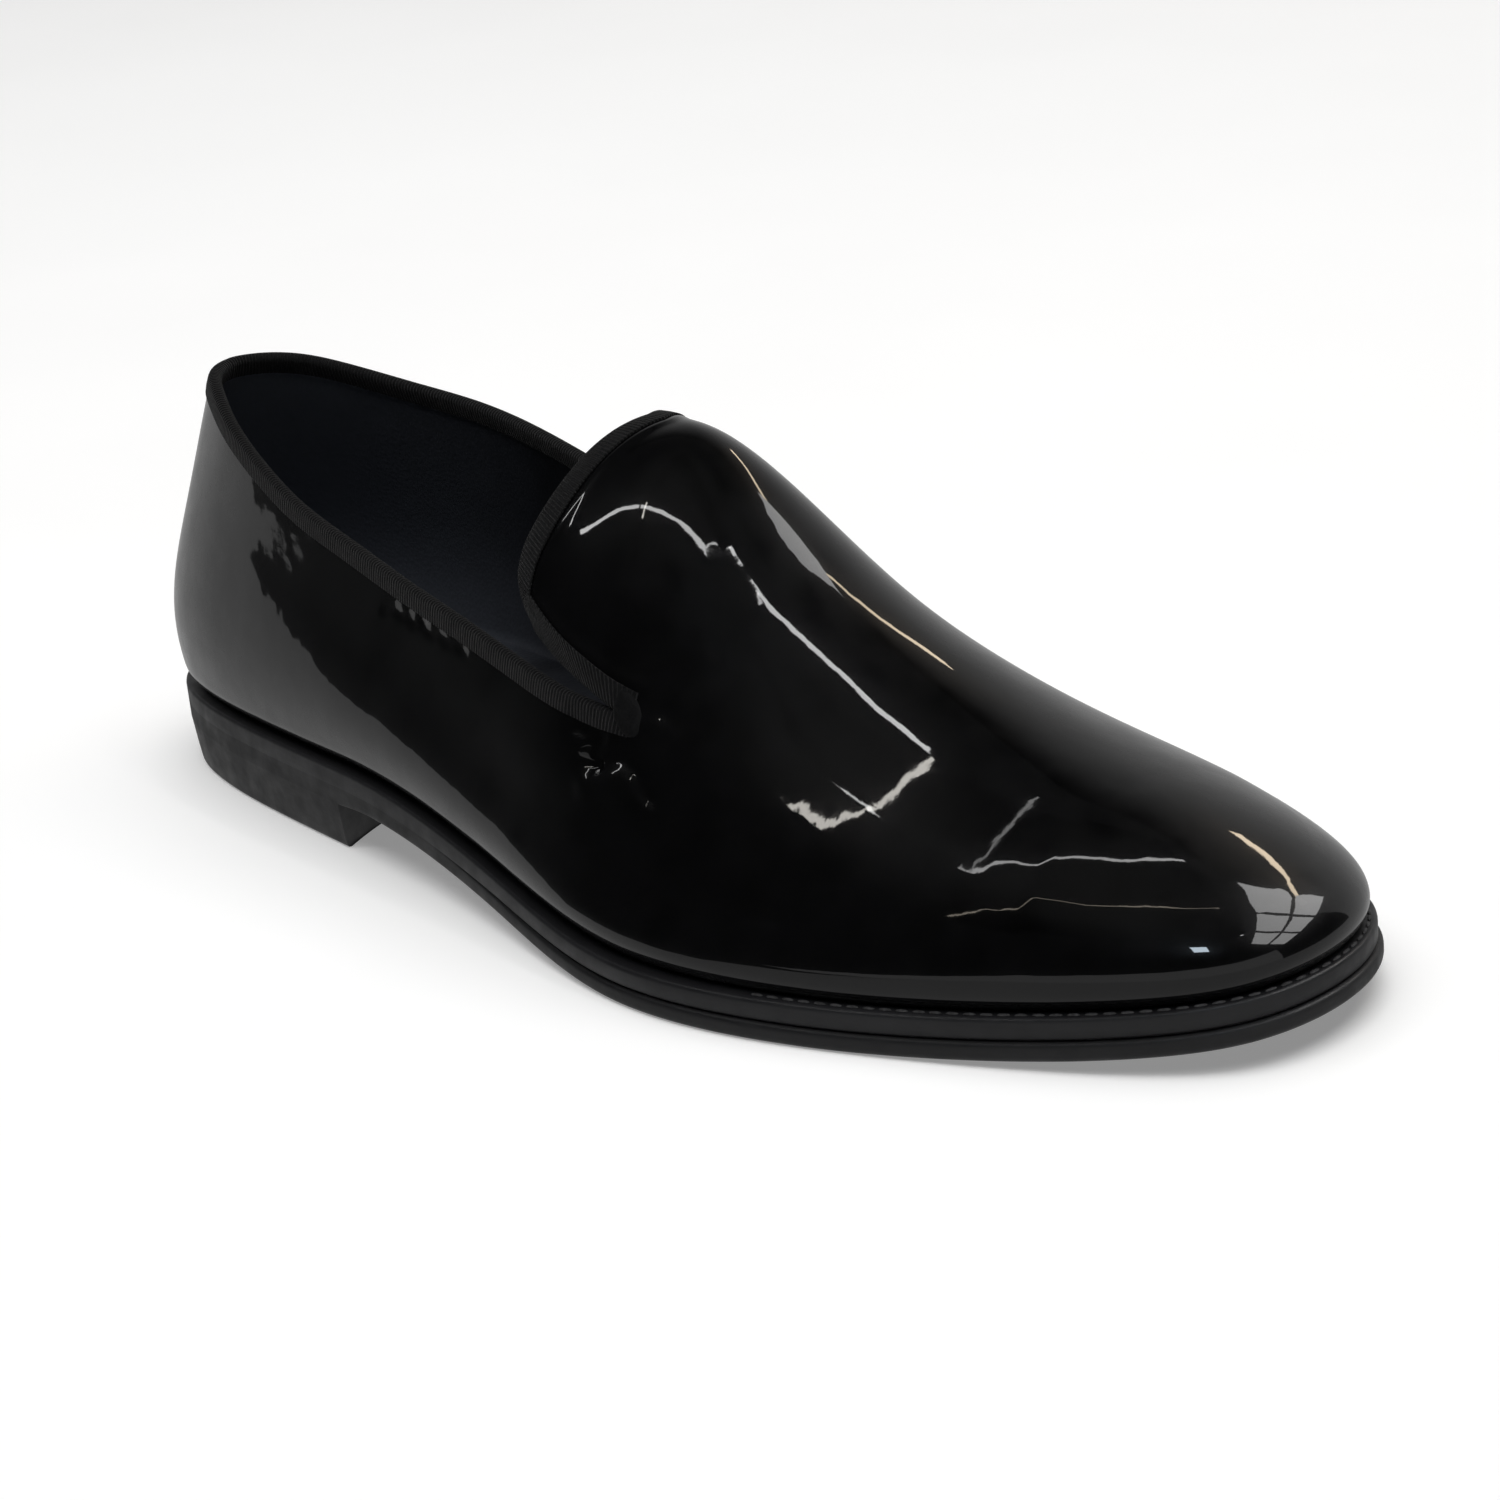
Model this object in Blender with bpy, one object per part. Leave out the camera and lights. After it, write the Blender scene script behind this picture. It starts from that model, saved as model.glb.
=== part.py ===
"""Right shoe of a patent slip-on with a tongue: one shoe, standing empty on its heel and ball.

Sizes are in millimetres and are turned into metres when each mesh is made. "Along" runs from
the heel's back to the toe tip, side -1 is the lateral (outer) half and side +1 the medial half.
The origin ends up under the middle of the shoe's box: +X to the toe, +Y medial, +Z up.
"""

import bmesh
import bpy
import numpy as np

MILLIMETRE = 0.001
LATERAL, MEDIAL = -1, 1

# Sole
LENGTH = 300.0
HEEL_LIFT = 10.4
TOE_SPRING = 6.0
BREAST = 81.0
BALL_START, BALL_END = 184.0, 222.0
OUTSOLE_THICK = 3.6
MIDSOLE_THICK = 4.2
HEEL_TAPER = 1.0
BREAST_SAG = 6.0
GAP = 0.3

# Upper and insole
WALL = 1.8
LASTING_MARGIN = 7.0
TUCK = 2.0
TUCK_HEIGHT = 4.0
INSOLE_THICK = 2.5
INSOLE_INSET = 5.6
HEEL_PIVOT, TOE_PIVOT = 40.0, 258.0
HEEL_BLEND, TOE_BLEND = 25.0, 22.0

# Throat and its ribbon
NOTCH = 178.0
VAMP_ROW_ANGLE = np.radians(40.0)
VAMP_ROW_BLEND = 105.0
COLLAR_RIBBON, TONGUE_RIBBON = 2.6, 4.2
TONGUE_RIBBON_SHARE = 0.095
RIBBON_THICK = 0.6

# How finely the curves are cut
REAR_STATIONS, FRONT_STATIONS = 24, 22
WALL_ROWS, VAMP_ROWS, RIBBON_ROWS, TONGUE_COLUMNS = 5, 6, 2, 4
BREAST_POINTS = 6

# Half widths of the sole's edge in plan
OUTLINE = [
    # along, lateral, medial
    (7, 15.6, 15.4),
    (25, 25.8, 26.4),
    (50, 31.8, 31.0),
    (80, 36.6, 30.0),
    (110, 41.6, 24.5),
    (140, 48.4, 22.5),
    (168, 55.8, 29.0),
    (190, 58.4, 38.5),
    (215, 55.0, 45.5),
    (240, 47.0, 48.0),
    (262, 38.2, 44.0),
    (280, 29.2, 36.0),
    (294, 17.6, 23.0),
]

# How far the upper's lower edge and the midsole's edge stand inside the sole's edge
LEDGE = [
    # along, upper, midsole
    (0, 1.2, 0.0),
    (80, 1.4, 0.0),
    (140, 2.0, 0.1),
    (200, 2.8, 0.6),
    (300, 2.6, 0.9),
]

# Ridge of the last: where the two halves of each section meet. Behind the tongue it is only the
# point that the walls of the quarters lean towards.
RIDGE = [
    # along, height above the floor, sideways
    (15, 118.0, 0.0),
    (60, 118.0, -1.0),
    (100, 111.0, -2.5),
    (128, 99.0, -3.0),
    (147, 93.2, -3.0),
    (160, 92.4, -3.0),
    (174, 84.6, -2.8),
    (192, 67.6, -2.2),
    (212, 54.0, -1.5),
    (234, 44.2, -0.6),
    (258, 37.4, 0.0),
]

# Fullness of each section: 1 is a straight roof, 2 an ellipse, more is boxy
FULLNESS = [
    # along, lateral, medial
    (0, 1.47, 1.47),
    (18, 1.40, 1.48),
    (35, 1.50, 1.64),
    (65, 1.75, 2.15),
    (100, 1.95, 2.40),
    (144, 2.05, 2.30),
    (170, 1.82, 2.10),
    (205, 1.72, 2.00),
    (230, 1.80, 2.00),
    (258, 2.10, 2.10),
]

# Outward bulge of the wall above the feather edge
BULGE = [
    # along, lateral, medial, height of its crown
    (0, 3.6, 3.6, 21.0),
    (60, 3.2, 3.2, 18.5),
    (88, 3.0, 2.6, 15.0),
    (112, 2.6, 2.2, 12.0),
    (146, 2.0, 1.8, 8.5),
    (170, 1.4, 1.6, 6.5),
    (210, 1.2, 1.4, 6.0),
    (300, 1.2, 1.2, 7.0),
]

# Height of the quarters' top edge above the floor
TOPLINE = [
    # along, lateral, medial
    (0, 87.5, 87.5),
    (25, 84.0, 85.3),
    (53, 75.7, 79.7),
    (70, 70.3, 77.4),
    (88, 66.5, 75.0),
    (109, 62.1, 71.9),
    (127, 58.8, 68.3),
    (151, 54.3, 61.9),
    (178, 50.0, 54.2),
]

# Free edge of the tongue, from its lower corner (share 0) to the ridge (share 1)
TONGUE_BACK = [
    # share, along
    (0.00, 151.6),
    (0.05, 146.0),
    (0.12, 143.4),
    (0.26, 143.8),
    (0.47, 145.9),
    (0.72, 147.9),
    (1.00, 150.2),
]

# Slit between the quarter's top edge and the side edge of the tongue
SLIT = [
    # along, opening in degrees of the section
    (143, 9.5),
    (152, 6.4),
    (159, 4.7),
    (165, 3.7),
    (171, 3.0),
    (178, 2.7),
]

# Shoe leather, ribbon and sole colours: linear base colour, roughness
LOOKS = {
    "upper": ((0.004, 0.004, 0.005), 0.08),
    "collar_binding": ((0.010, 0.010, 0.012), 0.75),
    "tongue_binding": ((0.010, 0.010, 0.012), 0.75),
    "insole": ((0.020, 0.022, 0.028), 0.55),
    "midsole": ((0.016, 0.016, 0.018), 0.50),
    "outsole": ((0.016, 0.016, 0.018), 0.55),
    "heel": ((0.016, 0.016, 0.018), 0.55),
}


def second_derivatives(step, slope, closed):
    """Bending of a cubic spline at its knots, from the spacing and the slopes of the chords."""
    size = len(step) if closed else len(step) + 1
    matrix = np.eye(size)
    right = np.zeros(size)
    rows = range(size) if closed else range(1, size - 1)
    for row in rows:
        before, after = (row - 1) % len(step), row % len(step)
        matrix[row, row] = 2 * (step[before] + step[after])
        matrix[row, (row - 1) % size] = step[before]
        matrix[row, (row + 1) % size] = step[after]
        right[row] = 6 * (slope[after] - slope[before])
    return np.linalg.solve(matrix, right)


def spline(knots, values, closed=False):
    """Smooth function through the values at the knots. A closed one ends where it starts."""
    knots = np.asarray(knots, float)
    values = np.asarray(values, float)
    step = np.diff(knots)
    bend = second_derivatives(step, np.diff(values) / step, closed)
    if closed:
        bend = np.append(bend, bend[0])

    def at(where):
        where = np.clip(where, knots[0], knots[-1])
        i = np.clip(np.searchsorted(knots, where) - 1, 0, len(step) - 1)
        left, right, h = knots[i + 1] - where, where - knots[i], step[i]
        curve = (bend[i] * left**3 + bend[i + 1] * right**3) / (6 * h)
        chord = (values[i] / h - bend[i] * h / 6) * left
        return curve + chord + (values[i + 1] / h - bend[i + 1] * h / 6) * right

    return at


def column(table, index):
    """The table's column as a smooth function of its first one."""
    return spline([row[0] for row in table], [row[index] for row in table])


def ease(share):
    """Rises smoothly from 0 to 1 as the share does."""
    share = np.clip(share, 0, 1)
    return share * share * (3 - 2 * share)


def soft_floor(value, low, blend):
    """The value itself above low + blend, easing to low below low - blend."""
    share = np.clip((value - low + blend) / (2 * blend), 0, 1)
    eased = low + 2 * blend * (share**3 - share**4 / 2)
    return np.where(value > low + blend, value, eased)


def sole_underside(along):
    """Height of the outsole's underside: heel seat, arch, flat ball and toe spring."""
    arch = 1 - ease((along - BREAST - 3) / (BALL_START - BREAST - 3))
    toe = np.clip((along - BALL_END) / (LENGTH - BALL_END), 0, None)
    return HEEL_LIFT * arch + TOE_SPRING * toe**2


def midsole_underside(along):
    return sole_underside(along) + OUTSOLE_THICK + GAP


def feather_height(along):
    """Height at which the upper rests, a gap above the midsole."""
    return midsole_underside(along) + MIDSOLE_THICK + GAP


def sole_edge(samples=3000):
    """The sole's closed edge in plan, from the heel's back along the lateral side and back."""
    lateral = [(row[0], -row[1]) for row in OUTLINE]
    medial = [(row[0], row[2]) for row in reversed(OUTLINE)]
    points = np.array([(0, 0), *lateral, (LENGTH, 0), *medial, (0, 0)], float)
    run = np.append(0, np.cumsum(np.hypot(*np.diff(points, axis=0).T)))
    where = np.linspace(0, run[-1], samples, endpoint=False)
    return np.stack([spline(run, points[:, k], closed=True)(where) for k in (0, 1)], 1)


EDGE = sole_edge()


class Plan:
    """A closed curve that follows the sole's edge in plan, a little inside it."""

    def __init__(self, inset):
        heading = np.roll(EDGE, -1, axis=0) - np.roll(EDGE, 1, axis=0)
        heading /= np.hypot(*heading.T)[:, None]
        inward = np.stack([-heading[:, 1], heading[:, 0]], 1)
        curve = EDGE + inward * np.reshape(inset(EDGE[:, 0]), (-1, 1))
        curve = np.roll(curve, -int(np.argmin(curve[:, 0])), axis=0)
        curve = np.append(curve, curve[:1], axis=0)
        toe = int(np.argmax(curve[:, 0]))
        self.low, self.high = curve[0, 0], curve[toe, 0]
        self.half = {LATERAL: curve[: toe + 1], MEDIAL: curve[toe:][::-1]}

    def sideways(self, along, side):
        half = self.half[side]
        rising = np.maximum.accumulate(half[:, 0])
        return np.interp(along, rising, half[:, 1])

    def stations(self, start, end, count):
        """Places along the shoe, evenly spaced along the lateral edge between two of them."""
        half = self.half[LATERAL]
        run = np.append(0, np.cumsum(np.hypot(*np.diff(half, axis=0).T)))
        rising = np.maximum.accumulate(half[:, 0])
        ends = np.interp([start, end], rising, run)
        places = np.interp(np.linspace(*ends, count + 1), run, rising)
        places[[0, -1]] = start, end
        return places


FEATHER = Plan(column(LEDGE, 1))
RIDGE_HEIGHT, RIDGE_SIDEWAYS = column(RIDGE, 1), column(RIDGE, 2)
TOE_SLOPE = RIDGE_HEIGHT(TOE_PIVOT) - RIDGE_HEIGHT(TOE_PIVOT - 1)
SIDE_FULLNESS = {LATERAL: column(FULLNESS, 1), MEDIAL: column(FULLNESS, 2)}
SIDE_BULGE = {LATERAL: column(BULGE, 1), MEDIAL: column(BULGE, 2)}
BULGE_HEIGHT = column(BULGE, 3)
SIDE_TOPLINE = {LATERAL: column(TOPLINE, 1), MEDIAL: column(TOPLINE, 2)}
TONGUE_ALONG = column(TONGUE_BACK, 1)
SLIT_OPENING = column(SLIT, 1)


def spine_along(along):
    """The place of a section's ridge. The heel's and the toe's sections fan out from a pivot."""
    forward = soft_floor(along, HEEL_PIVOT, HEEL_BLEND)
    return LENGTH - soft_floor(LENGTH - forward, LENGTH - TOE_PIVOT, TOE_BLEND)


def section_height(along):
    return RIDGE_HEIGHT(spine_along(along)) - feather_height(along)


def upper_point(along, side, angle):
    """A point of the upper's outside: angle 0 is the feather edge, a right angle the ridge."""
    along, angle = np.broadcast_arrays(np.asarray(along, float), np.asarray(angle, float))
    spine = spine_along(along)
    middle = RIDGE_SIDEWAYS(spine)
    out = np.stack([along - spine, FEATHER.sideways(along, side) - middle], -1)
    span = np.hypot(out[..., 0], out[..., 1])
    power = 2 / SIDE_FULLNESS[side](along)
    turn = np.clip(angle, 0, np.pi / 2)
    rise = section_height(along) * np.sin(turn) ** power
    reach = span * np.cos(turn) ** power
    lift = rise / BULGE_HEIGHT(along)
    reach = reach + SIDE_BULGE[side](along) * lift * np.exp((1 - lift**2) / 2) * np.cos(turn)
    reach = reach - TUCK * np.clip(1 - rise / TUCK_HEIGHT, 0, 1) ** 2
    share = reach / span
    ahead, across = out[..., 0] * share, out[..., 1] * share
    rise = rise + TOE_SLOPE * np.clip(ahead, 0, None) * np.sin(turn) ** 2
    return np.stack([spine + ahead, middle + across, feather_height(along) + rise], -1)


def margin_point(along, side, inward):
    """A point of the lasting margin that is turned in under the insole."""
    spine = spine_along(along)
    middle = RIDGE_SIDEWAYS(spine)
    out = np.stack([along - spine, FEATHER.sideways(along, side) - middle], -1)
    span = np.hypot(out[..., 0], out[..., 1])
    share = (span - TUCK - inward) / span
    x = spine + out[..., 0] * share
    return np.stack([x, middle + out[..., 1] * share, feather_height(x)], -1)


def angle_at(along, side, height):
    """The section's angle at a height above the feather edge."""
    power = SIDE_FULLNESS[side](along) / 2
    return np.arcsin(np.clip(height / section_height(along), 0, 1) ** power)


def throat_angle(along, side):
    """The quarter's top edge and, ahead of the notch, the line that carries it on to the toe."""
    rim = angle_at(along, side, SIDE_TOPLINE[side](along) - feather_height(along))
    notch = angle_at(NOTCH, side, SIDE_TOPLINE[side](NOTCH) - feather_height(NOTCH))
    ahead = notch + (VAMP_ROW_ANGLE - notch) * ease((along - NOTCH) / VAMP_ROW_BLEND)
    return np.where(along > NOTCH, ahead, rim)


def tongue_angle(along, side):
    """The side edge of the tongue and, ahead of the notch, the lower line of the vamp's top."""
    return throat_angle(along, side) + np.radians(SLIT_OPENING(along))


def ribbon_angle(along, side, angle, width):
    """The angle that a ribbon's width takes up at a place of the section."""
    small = 0.01
    run = upper_point(along, side, angle + small) - upper_point(along, side, angle - small)
    return width * 2 * small / np.linalg.norm(run, axis=-1)


def wall_grid(along, side):
    """Rows of points up the wall from the lasting margin to the throat, one column a station."""
    rim = throat_angle(along, side)
    below = rim - ribbon_angle(along, side, rim, COLLAR_RIBBON)
    rows = [margin_point(along, side, inward) for inward in (LASTING_MARGIN, 1.0)]
    low = [angle_at(along, side, TUCK_HEIGHT * share) for share in (0, 0.33, 0.7, 1.25)]
    between = np.linspace(0, 1, WALL_ROWS + 1)[1:, None]
    rows += [upper_point(along, side, angle) for angle in low]
    rows += list(upper_point(along, side, low[-1] + (below - low[-1]) * between))
    rows.append(upper_point(along, side, rim))
    return np.array(rows)


def vamp_grid(front, side):
    """Rows of points from the tongue's side edge to the ridge, from its free edge to the toe."""
    rows = []
    for row in range(RIBBON_ROWS + VAMP_ROWS + 1):
        bound = min(row / RIBBON_ROWS, 1)
        share = max(0, row - RIBBON_ROWS) / VAMP_ROWS
        back = TONGUE_ALONG(TONGUE_RIBBON_SHARE * bound + (1 - TONGUE_RIBBON_SHARE) * share)
        tongue = np.linspace(back + TONGUE_RIBBON, NOTCH, TONGUE_COLUMNS + 1)
        along = np.concatenate([[back], tongue[:-1], front])
        edge = tongue_angle(along, side)
        start = edge + ribbon_angle(along, side, edge, TONGUE_RIBBON) * bound
        rows.append(upper_point(along, side, start + (np.pi / 2 - start) * share))
    return np.array(rows)


class Sheet:
    """An open surface that gathers points and faces, sharing the points that coincide."""

    def __init__(self):
        self.points = []
        self.faces = []
        self.known = {}

    def point(self, place):
        key = tuple(np.round(place, 3))
        if key not in self.known:
            self.known[key] = len(self.points)
            self.points.append(np.asarray(place, float))
        return self.known[key]

    def face(self, *corners):
        kept = [c for k, c in enumerate(corners) if c != corners[k - 1]]
        if len(set(kept)) > 2:
            self.faces.append(kept)

    def grid(self, rows, flip):
        """Adds a grid of points as four-sided faces, and returns their numbers."""
        index = np.array([[self.point(place) for place in row] for row in rows])
        for r in range(len(index) - 1):
            self.strip(index[r], index[r + 1], flip)
        return index

    def strip(self, lower, upper, flip):
        for k in range(len(lower) - 1):
            corners = (lower[k], lower[k + 1], upper[k + 1], upper[k])
            self.face(*(corners[::-1] if flip else corners))

    def normals(self):
        points = np.array(self.points)
        total = np.zeros_like(points)
        for face in self.faces:
            ring = points[face]
            centre = ring.mean(0)
            turned = np.cross(ring - centre, np.roll(ring, -1, axis=0) - centre).sum(0)
            total[face] += turned
        return total / np.linalg.norm(total, axis=1)[:, None]

    def border(self):
        """Directed edges that belong to one face only."""
        edges = {(f[k - 1], f[k]) for f in self.faces for k in range(len(f))}
        return [edge for edge in edges if edge[::-1] not in edges]

    def thicken(self, depth):
        """The closed solid between this surface and its copy, a wall's depth inside it."""
        points = np.array(self.points)
        count = len(points)
        faces = list(self.faces)
        faces += [[c + count for c in reversed(face)] for face in self.faces]
        faces += [[b, a, a + count, b + count] for a, b in sorted(self.border())]
        return np.concatenate([points, points - self.normals() * depth]), faces


def upper_sheet():
    """The upper's outside, with the two edges that the ribbons cover."""
    sheet = Sheet()
    rear = FEATHER.stations(FEATHER.low, NOTCH, REAR_STATIONS)
    front = FEATHER.stations(NOTCH, FEATHER.high, FRONT_STATIONS)
    along = np.append(rear, front[1:])
    walls = {side: wall_grid(along, side) for side in (LATERAL, MEDIAL)}
    vamps = {side: vamp_grid(front, side) for side in (LATERAL, MEDIAL)}
    walls[MEDIAL][:, [0, -1]] = walls[LATERAL][:, [0, -1]]
    vamps[MEDIAL][:, -1] = vamps[LATERAL][:, -1]
    edges = {}
    for side in (LATERAL, MEDIAL):
        wall = sheet.grid(walls[side], flip=side == MEDIAL)
        vamp = sheet.grid(vamps[side], flip=side == MEDIAL)
        ahead = len(front)
        sheet.strip(wall[-1, -ahead:], vamp[0, -ahead:], flip=side == MEDIAL)
        quarter = [(wall[-1, k], wall[-2, k]) for k in range(REAR_STATIONS, -1, -1)]
        bound = vamp[RIBBON_ROWS]
        tongue = [(vamp[0, k], bound[k]) for k in range(TONGUE_COLUMNS + 1, 0, -1)]
        tongue += [(row[0], bound[1]) for row in vamp[:RIBBON_ROWS]]
        tongue += [(row[0], row[1]) for row in vamp[RIBBON_ROWS:]]
        edges[side] = quarter, tongue
    collar, tongue = (edges[LATERAL][k] + edges[MEDIAL][k][::-1][1:] for k in (0, 1))
    return sheet, collar, tongue[::-1]


def ribbon_ring(rim, rim_out, inner, inner_out, depth):
    """The folded ribbon's cut across one place of an edge, as a closed ring of points."""
    away = rim - inner
    away = away - rim_out * (away @ rim_out)
    away /= np.linalg.norm(away)
    thick = GAP + RIBBON_THICK
    middle = rim - rim_out * depth / 2
    half = depth / 2
    return [
        inner + inner_out * GAP,
        rim + rim_out * GAP + away * GAP,
        rim - rim_out * (depth + GAP) + away * GAP,
        inner - inner_out * (depth + GAP),
        inner - inner_out * (depth + thick),
        rim - rim_out * (depth + thick) + away * GAP,
        middle - rim_out * half * 0.8 + away * thick,
        middle + rim_out * half * 0.8 + away * thick,
        rim + rim_out * thick + away * GAP,
        inner + inner_out * thick,
    ]


def ribbon(sheet, rim):
    """A ribbon folded over an edge of the upper, a gap clear of it on every side."""
    normals = sheet.normals()
    points = np.array(sheet.points)
    rings = np.array([ribbon_ring(points[a], normals[a], points[b], normals[b], WALL) for a, b in rim])
    rings[0] += 0.1 * (rings[1] - rings[0])
    rings[-1] += 0.1 * (rings[-2] - rings[-1])
    skin = Sheet()
    index = skin.grid([np.append(ring, ring[:1], axis=0) for ring in rings], flip=True)
    skin.face(*index[0, :-1])
    skin.face(*index[-1, -2::-1])
    return skin.points, skin.faces


def plate(rows, stations=REAR_STATIONS + FRONT_STATIONS):
    """A solid with the sole's outline. Each row of its side is an inset and a height, upwards."""
    sheet = Sheet()
    sides = {LATERAL: [], MEDIAL: []}
    for inset, height in rows:
        plan = Plan(inset)
        along = plan.stations(plan.low, plan.high, stations)
        for side in sides:
            across = plan.sideways(along, side)
            sides[side].append(np.stack([along, across, height(along)], 1))
    index = {side: sheet.grid(sides[side], flip=side == MEDIAL) for side in sides}
    sheet.strip(index[MEDIAL][0], index[LATERAL][0], flip=False)
    sheet.strip(index[MEDIAL][-1], index[LATERAL][-1], flip=True)
    return sheet.points, sheet.faces


def constant(value):
    return lambda along: np.full_like(along, value)


def outsole():
    """Lower layer: its edge bulges a little and rolls under at the floor."""
    return plate(
        [
            (constant(1.2), sole_underside),
            (constant(0.4), lambda along: sole_underside(along) + 0.4),
            (constant(0.0), lambda along: sole_underside(along) + 1.2),
            (constant(0.0), lambda along: sole_underside(along) + 2.8),
            (constant(0.5), lambda along: sole_underside(along) + OUTSOLE_THICK),
        ]
    )


def midsole():
    """Upper layer: steps in from the outsole around the forefoot, flush with it behind."""
    step = column(LEDGE, 2)
    return plate(
        [
            (lambda along: step(along) + 0.3, midsole_underside),
            (step, lambda along: midsole_underside(along) + 0.8),
            (step, lambda along: midsole_underside(along) + MIDSOLE_THICK - 0.8),
            (lambda along: step(along) + 0.6, lambda along: midsole_underside(along) + MIDSOLE_THICK),
        ]
    )


def insole():
    """Footbed lying on the lasting margin, inside the upper's wall."""
    ledge = column(LEDGE, 1)

    def inset(along):
        return ledge(along) + INSOLE_INSET

    def underside(along):
        return feather_height(along) + WALL + GAP

    return plate(
        [
            (inset, underside),
            (inset, lambda along: underside(along) + INSOLE_THICK),
        ]
    )


def heel_loop(inset, height):
    """One level of the heel block: the sole's edge behind the breast, and the hollow breast."""
    plan = Plan(constant(inset))
    along = plan.stations(plan.low, BREAST, REAR_STATIONS // 2)
    lateral = np.stack([along, plan.sideways(along, LATERAL)], 1)
    medial = np.stack([along, plan.sideways(along, MEDIAL)], 1)
    share = np.linspace(0, 1, BREAST_POINTS + 2)[1:-1]
    across = lateral[-1, 1] + (medial[-1, 1] - lateral[-1, 1]) * share
    breast = np.stack([BREAST - BREAST_SAG * 4 * share * (1 - share), across], 1)
    loop = np.concatenate([lateral, breast, medial[:0:-1]])
    return np.column_stack([loop, np.full(len(loop), height)])


def heel():
    """Low block heel, narrower at the floor, with a flat bottom."""
    levels = [
        heel_loop(HEEL_TAPER + 0.7, 0.0),
        heel_loop(HEEL_TAPER, 0.9),
        heel_loop(0.5, HEEL_LIFT - GAP),
    ]
    sheet = Sheet()
    index = sheet.grid([np.append(loop, loop[:1], axis=0) for loop in levels], flip=False)
    sheet.face(*index[0, -2::-1])
    sheet.face(*index[-1, :-1])
    return sheet.points, sheet.faces


def material(name):
    colour, roughness = LOOKS[name]
    made = bpy.data.materials.new(name)
    made.use_nodes = True
    shader = made.node_tree.nodes["Principled BSDF"]
    shader.inputs["Base Color"].default_value = (*colour, 1)
    shader.inputs["Roughness"].default_value = roughness
    shader.inputs["Metallic"].default_value = 0.0
    return made


def add_solid(name, points, faces, origin):
    """A named object from millimetre points, set down with the shoe's origin at zero."""
    mesh = bpy.data.meshes.new(name)
    placed = (np.asarray(points) - origin) * MILLIMETRE
    mesh.from_pydata(placed.tolist(), [], [[int(c) for c in face] for face in faces])
    work = bmesh.new()
    work.from_mesh(mesh)
    bmesh.ops.triangulate(work, faces=work.faces[:])
    work.to_mesh(mesh)
    work.free()
    mesh.materials.append(material(name))
    bpy.context.scene.collection.objects.link(bpy.data.objects.new(name, mesh))


def build():
    for old in list(bpy.data.objects):
        bpy.data.objects.remove(old, do_unlink=True)
    sheet, collar, tongue = upper_sheet()
    solids = {
        "upper": sheet.thicken(WALL),
        "collar_binding": ribbon(sheet, collar),
        "tongue_binding": ribbon(sheet, tongue),
        "insole": insole(),
        "midsole": midsole(),
        "outsole": outsole(),
        "heel": heel(),
    }
    every = np.concatenate([np.asarray(points) for points, faces in solids.values()])
    low, high = every.min(0), every.max(0)
    origin = np.array([(low[0] + high[0]) / 2, (low[1] + high[1]) / 2, low[2]])
    for name, (points, faces) in solids.items():
        add_solid(name, points, faces, origin)


build()
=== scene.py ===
"""Looks of the patent slip-on: its pieces and their materials, with floor, lights and camera.

Sizes are in millimetres and are turned into metres when each mesh is made. "Along" runs from the
heel's back to the toe tip, side -1 is the lateral (outer) half and side +1 the medial half.
"""

import bpy
import numpy as np
from mathutils import Matrix, Vector


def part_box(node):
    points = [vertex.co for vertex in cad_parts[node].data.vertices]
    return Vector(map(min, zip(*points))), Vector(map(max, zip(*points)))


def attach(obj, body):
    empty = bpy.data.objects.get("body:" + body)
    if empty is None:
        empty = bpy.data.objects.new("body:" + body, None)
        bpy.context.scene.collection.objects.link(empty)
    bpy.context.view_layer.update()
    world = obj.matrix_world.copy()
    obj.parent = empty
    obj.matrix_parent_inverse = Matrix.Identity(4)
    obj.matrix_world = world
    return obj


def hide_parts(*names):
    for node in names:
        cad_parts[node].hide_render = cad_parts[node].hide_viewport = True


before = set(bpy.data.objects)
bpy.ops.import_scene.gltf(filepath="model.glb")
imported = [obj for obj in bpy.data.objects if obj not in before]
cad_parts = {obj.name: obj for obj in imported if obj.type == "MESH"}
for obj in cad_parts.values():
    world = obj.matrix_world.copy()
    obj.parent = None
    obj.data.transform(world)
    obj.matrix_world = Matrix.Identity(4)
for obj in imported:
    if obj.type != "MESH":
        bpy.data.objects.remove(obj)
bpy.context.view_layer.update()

MILLIMETRE = 0.001
LATERAL, MEDIAL = -1, 1
SIDES = (LATERAL, MEDIAL)

# Sole
LENGTH = 300.0
WIDEST_LATERAL = 58.4
HEEL_LIFT = 10.4
TOE_SPRING = 6.0
BREAST = 81.0
ARCH_START = BREAST + 3.0
BALL_START, BALL_END = 184.0, 222.0
OUTSOLE_THICK = 3.6
MIDSOLE_THICK = 4.2
HEEL_TAPER = 1.0
BREAST_SAG = 6.0
GAP = 0.3

# Upper and footbed
WALL = 1.8
SKIN = 0.9
LASTING_MARGIN, MARGIN_EDGE = 7.0, 1.0
TUCK, TOE_TUCK = 2.0, 1.0
TUCK_CHANGE, TUCK_BLEND = 130.0, 80.0
TUCK_HEIGHT = 4.0
INSOLE_THICK = 2.5
INSOLE_INSET = 5.2
HEEL_PIVOT, TOE_PIVOT = 40.0, 258.0
HEEL_BLEND, TOE_BLEND = 25.0, 22.0

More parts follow.
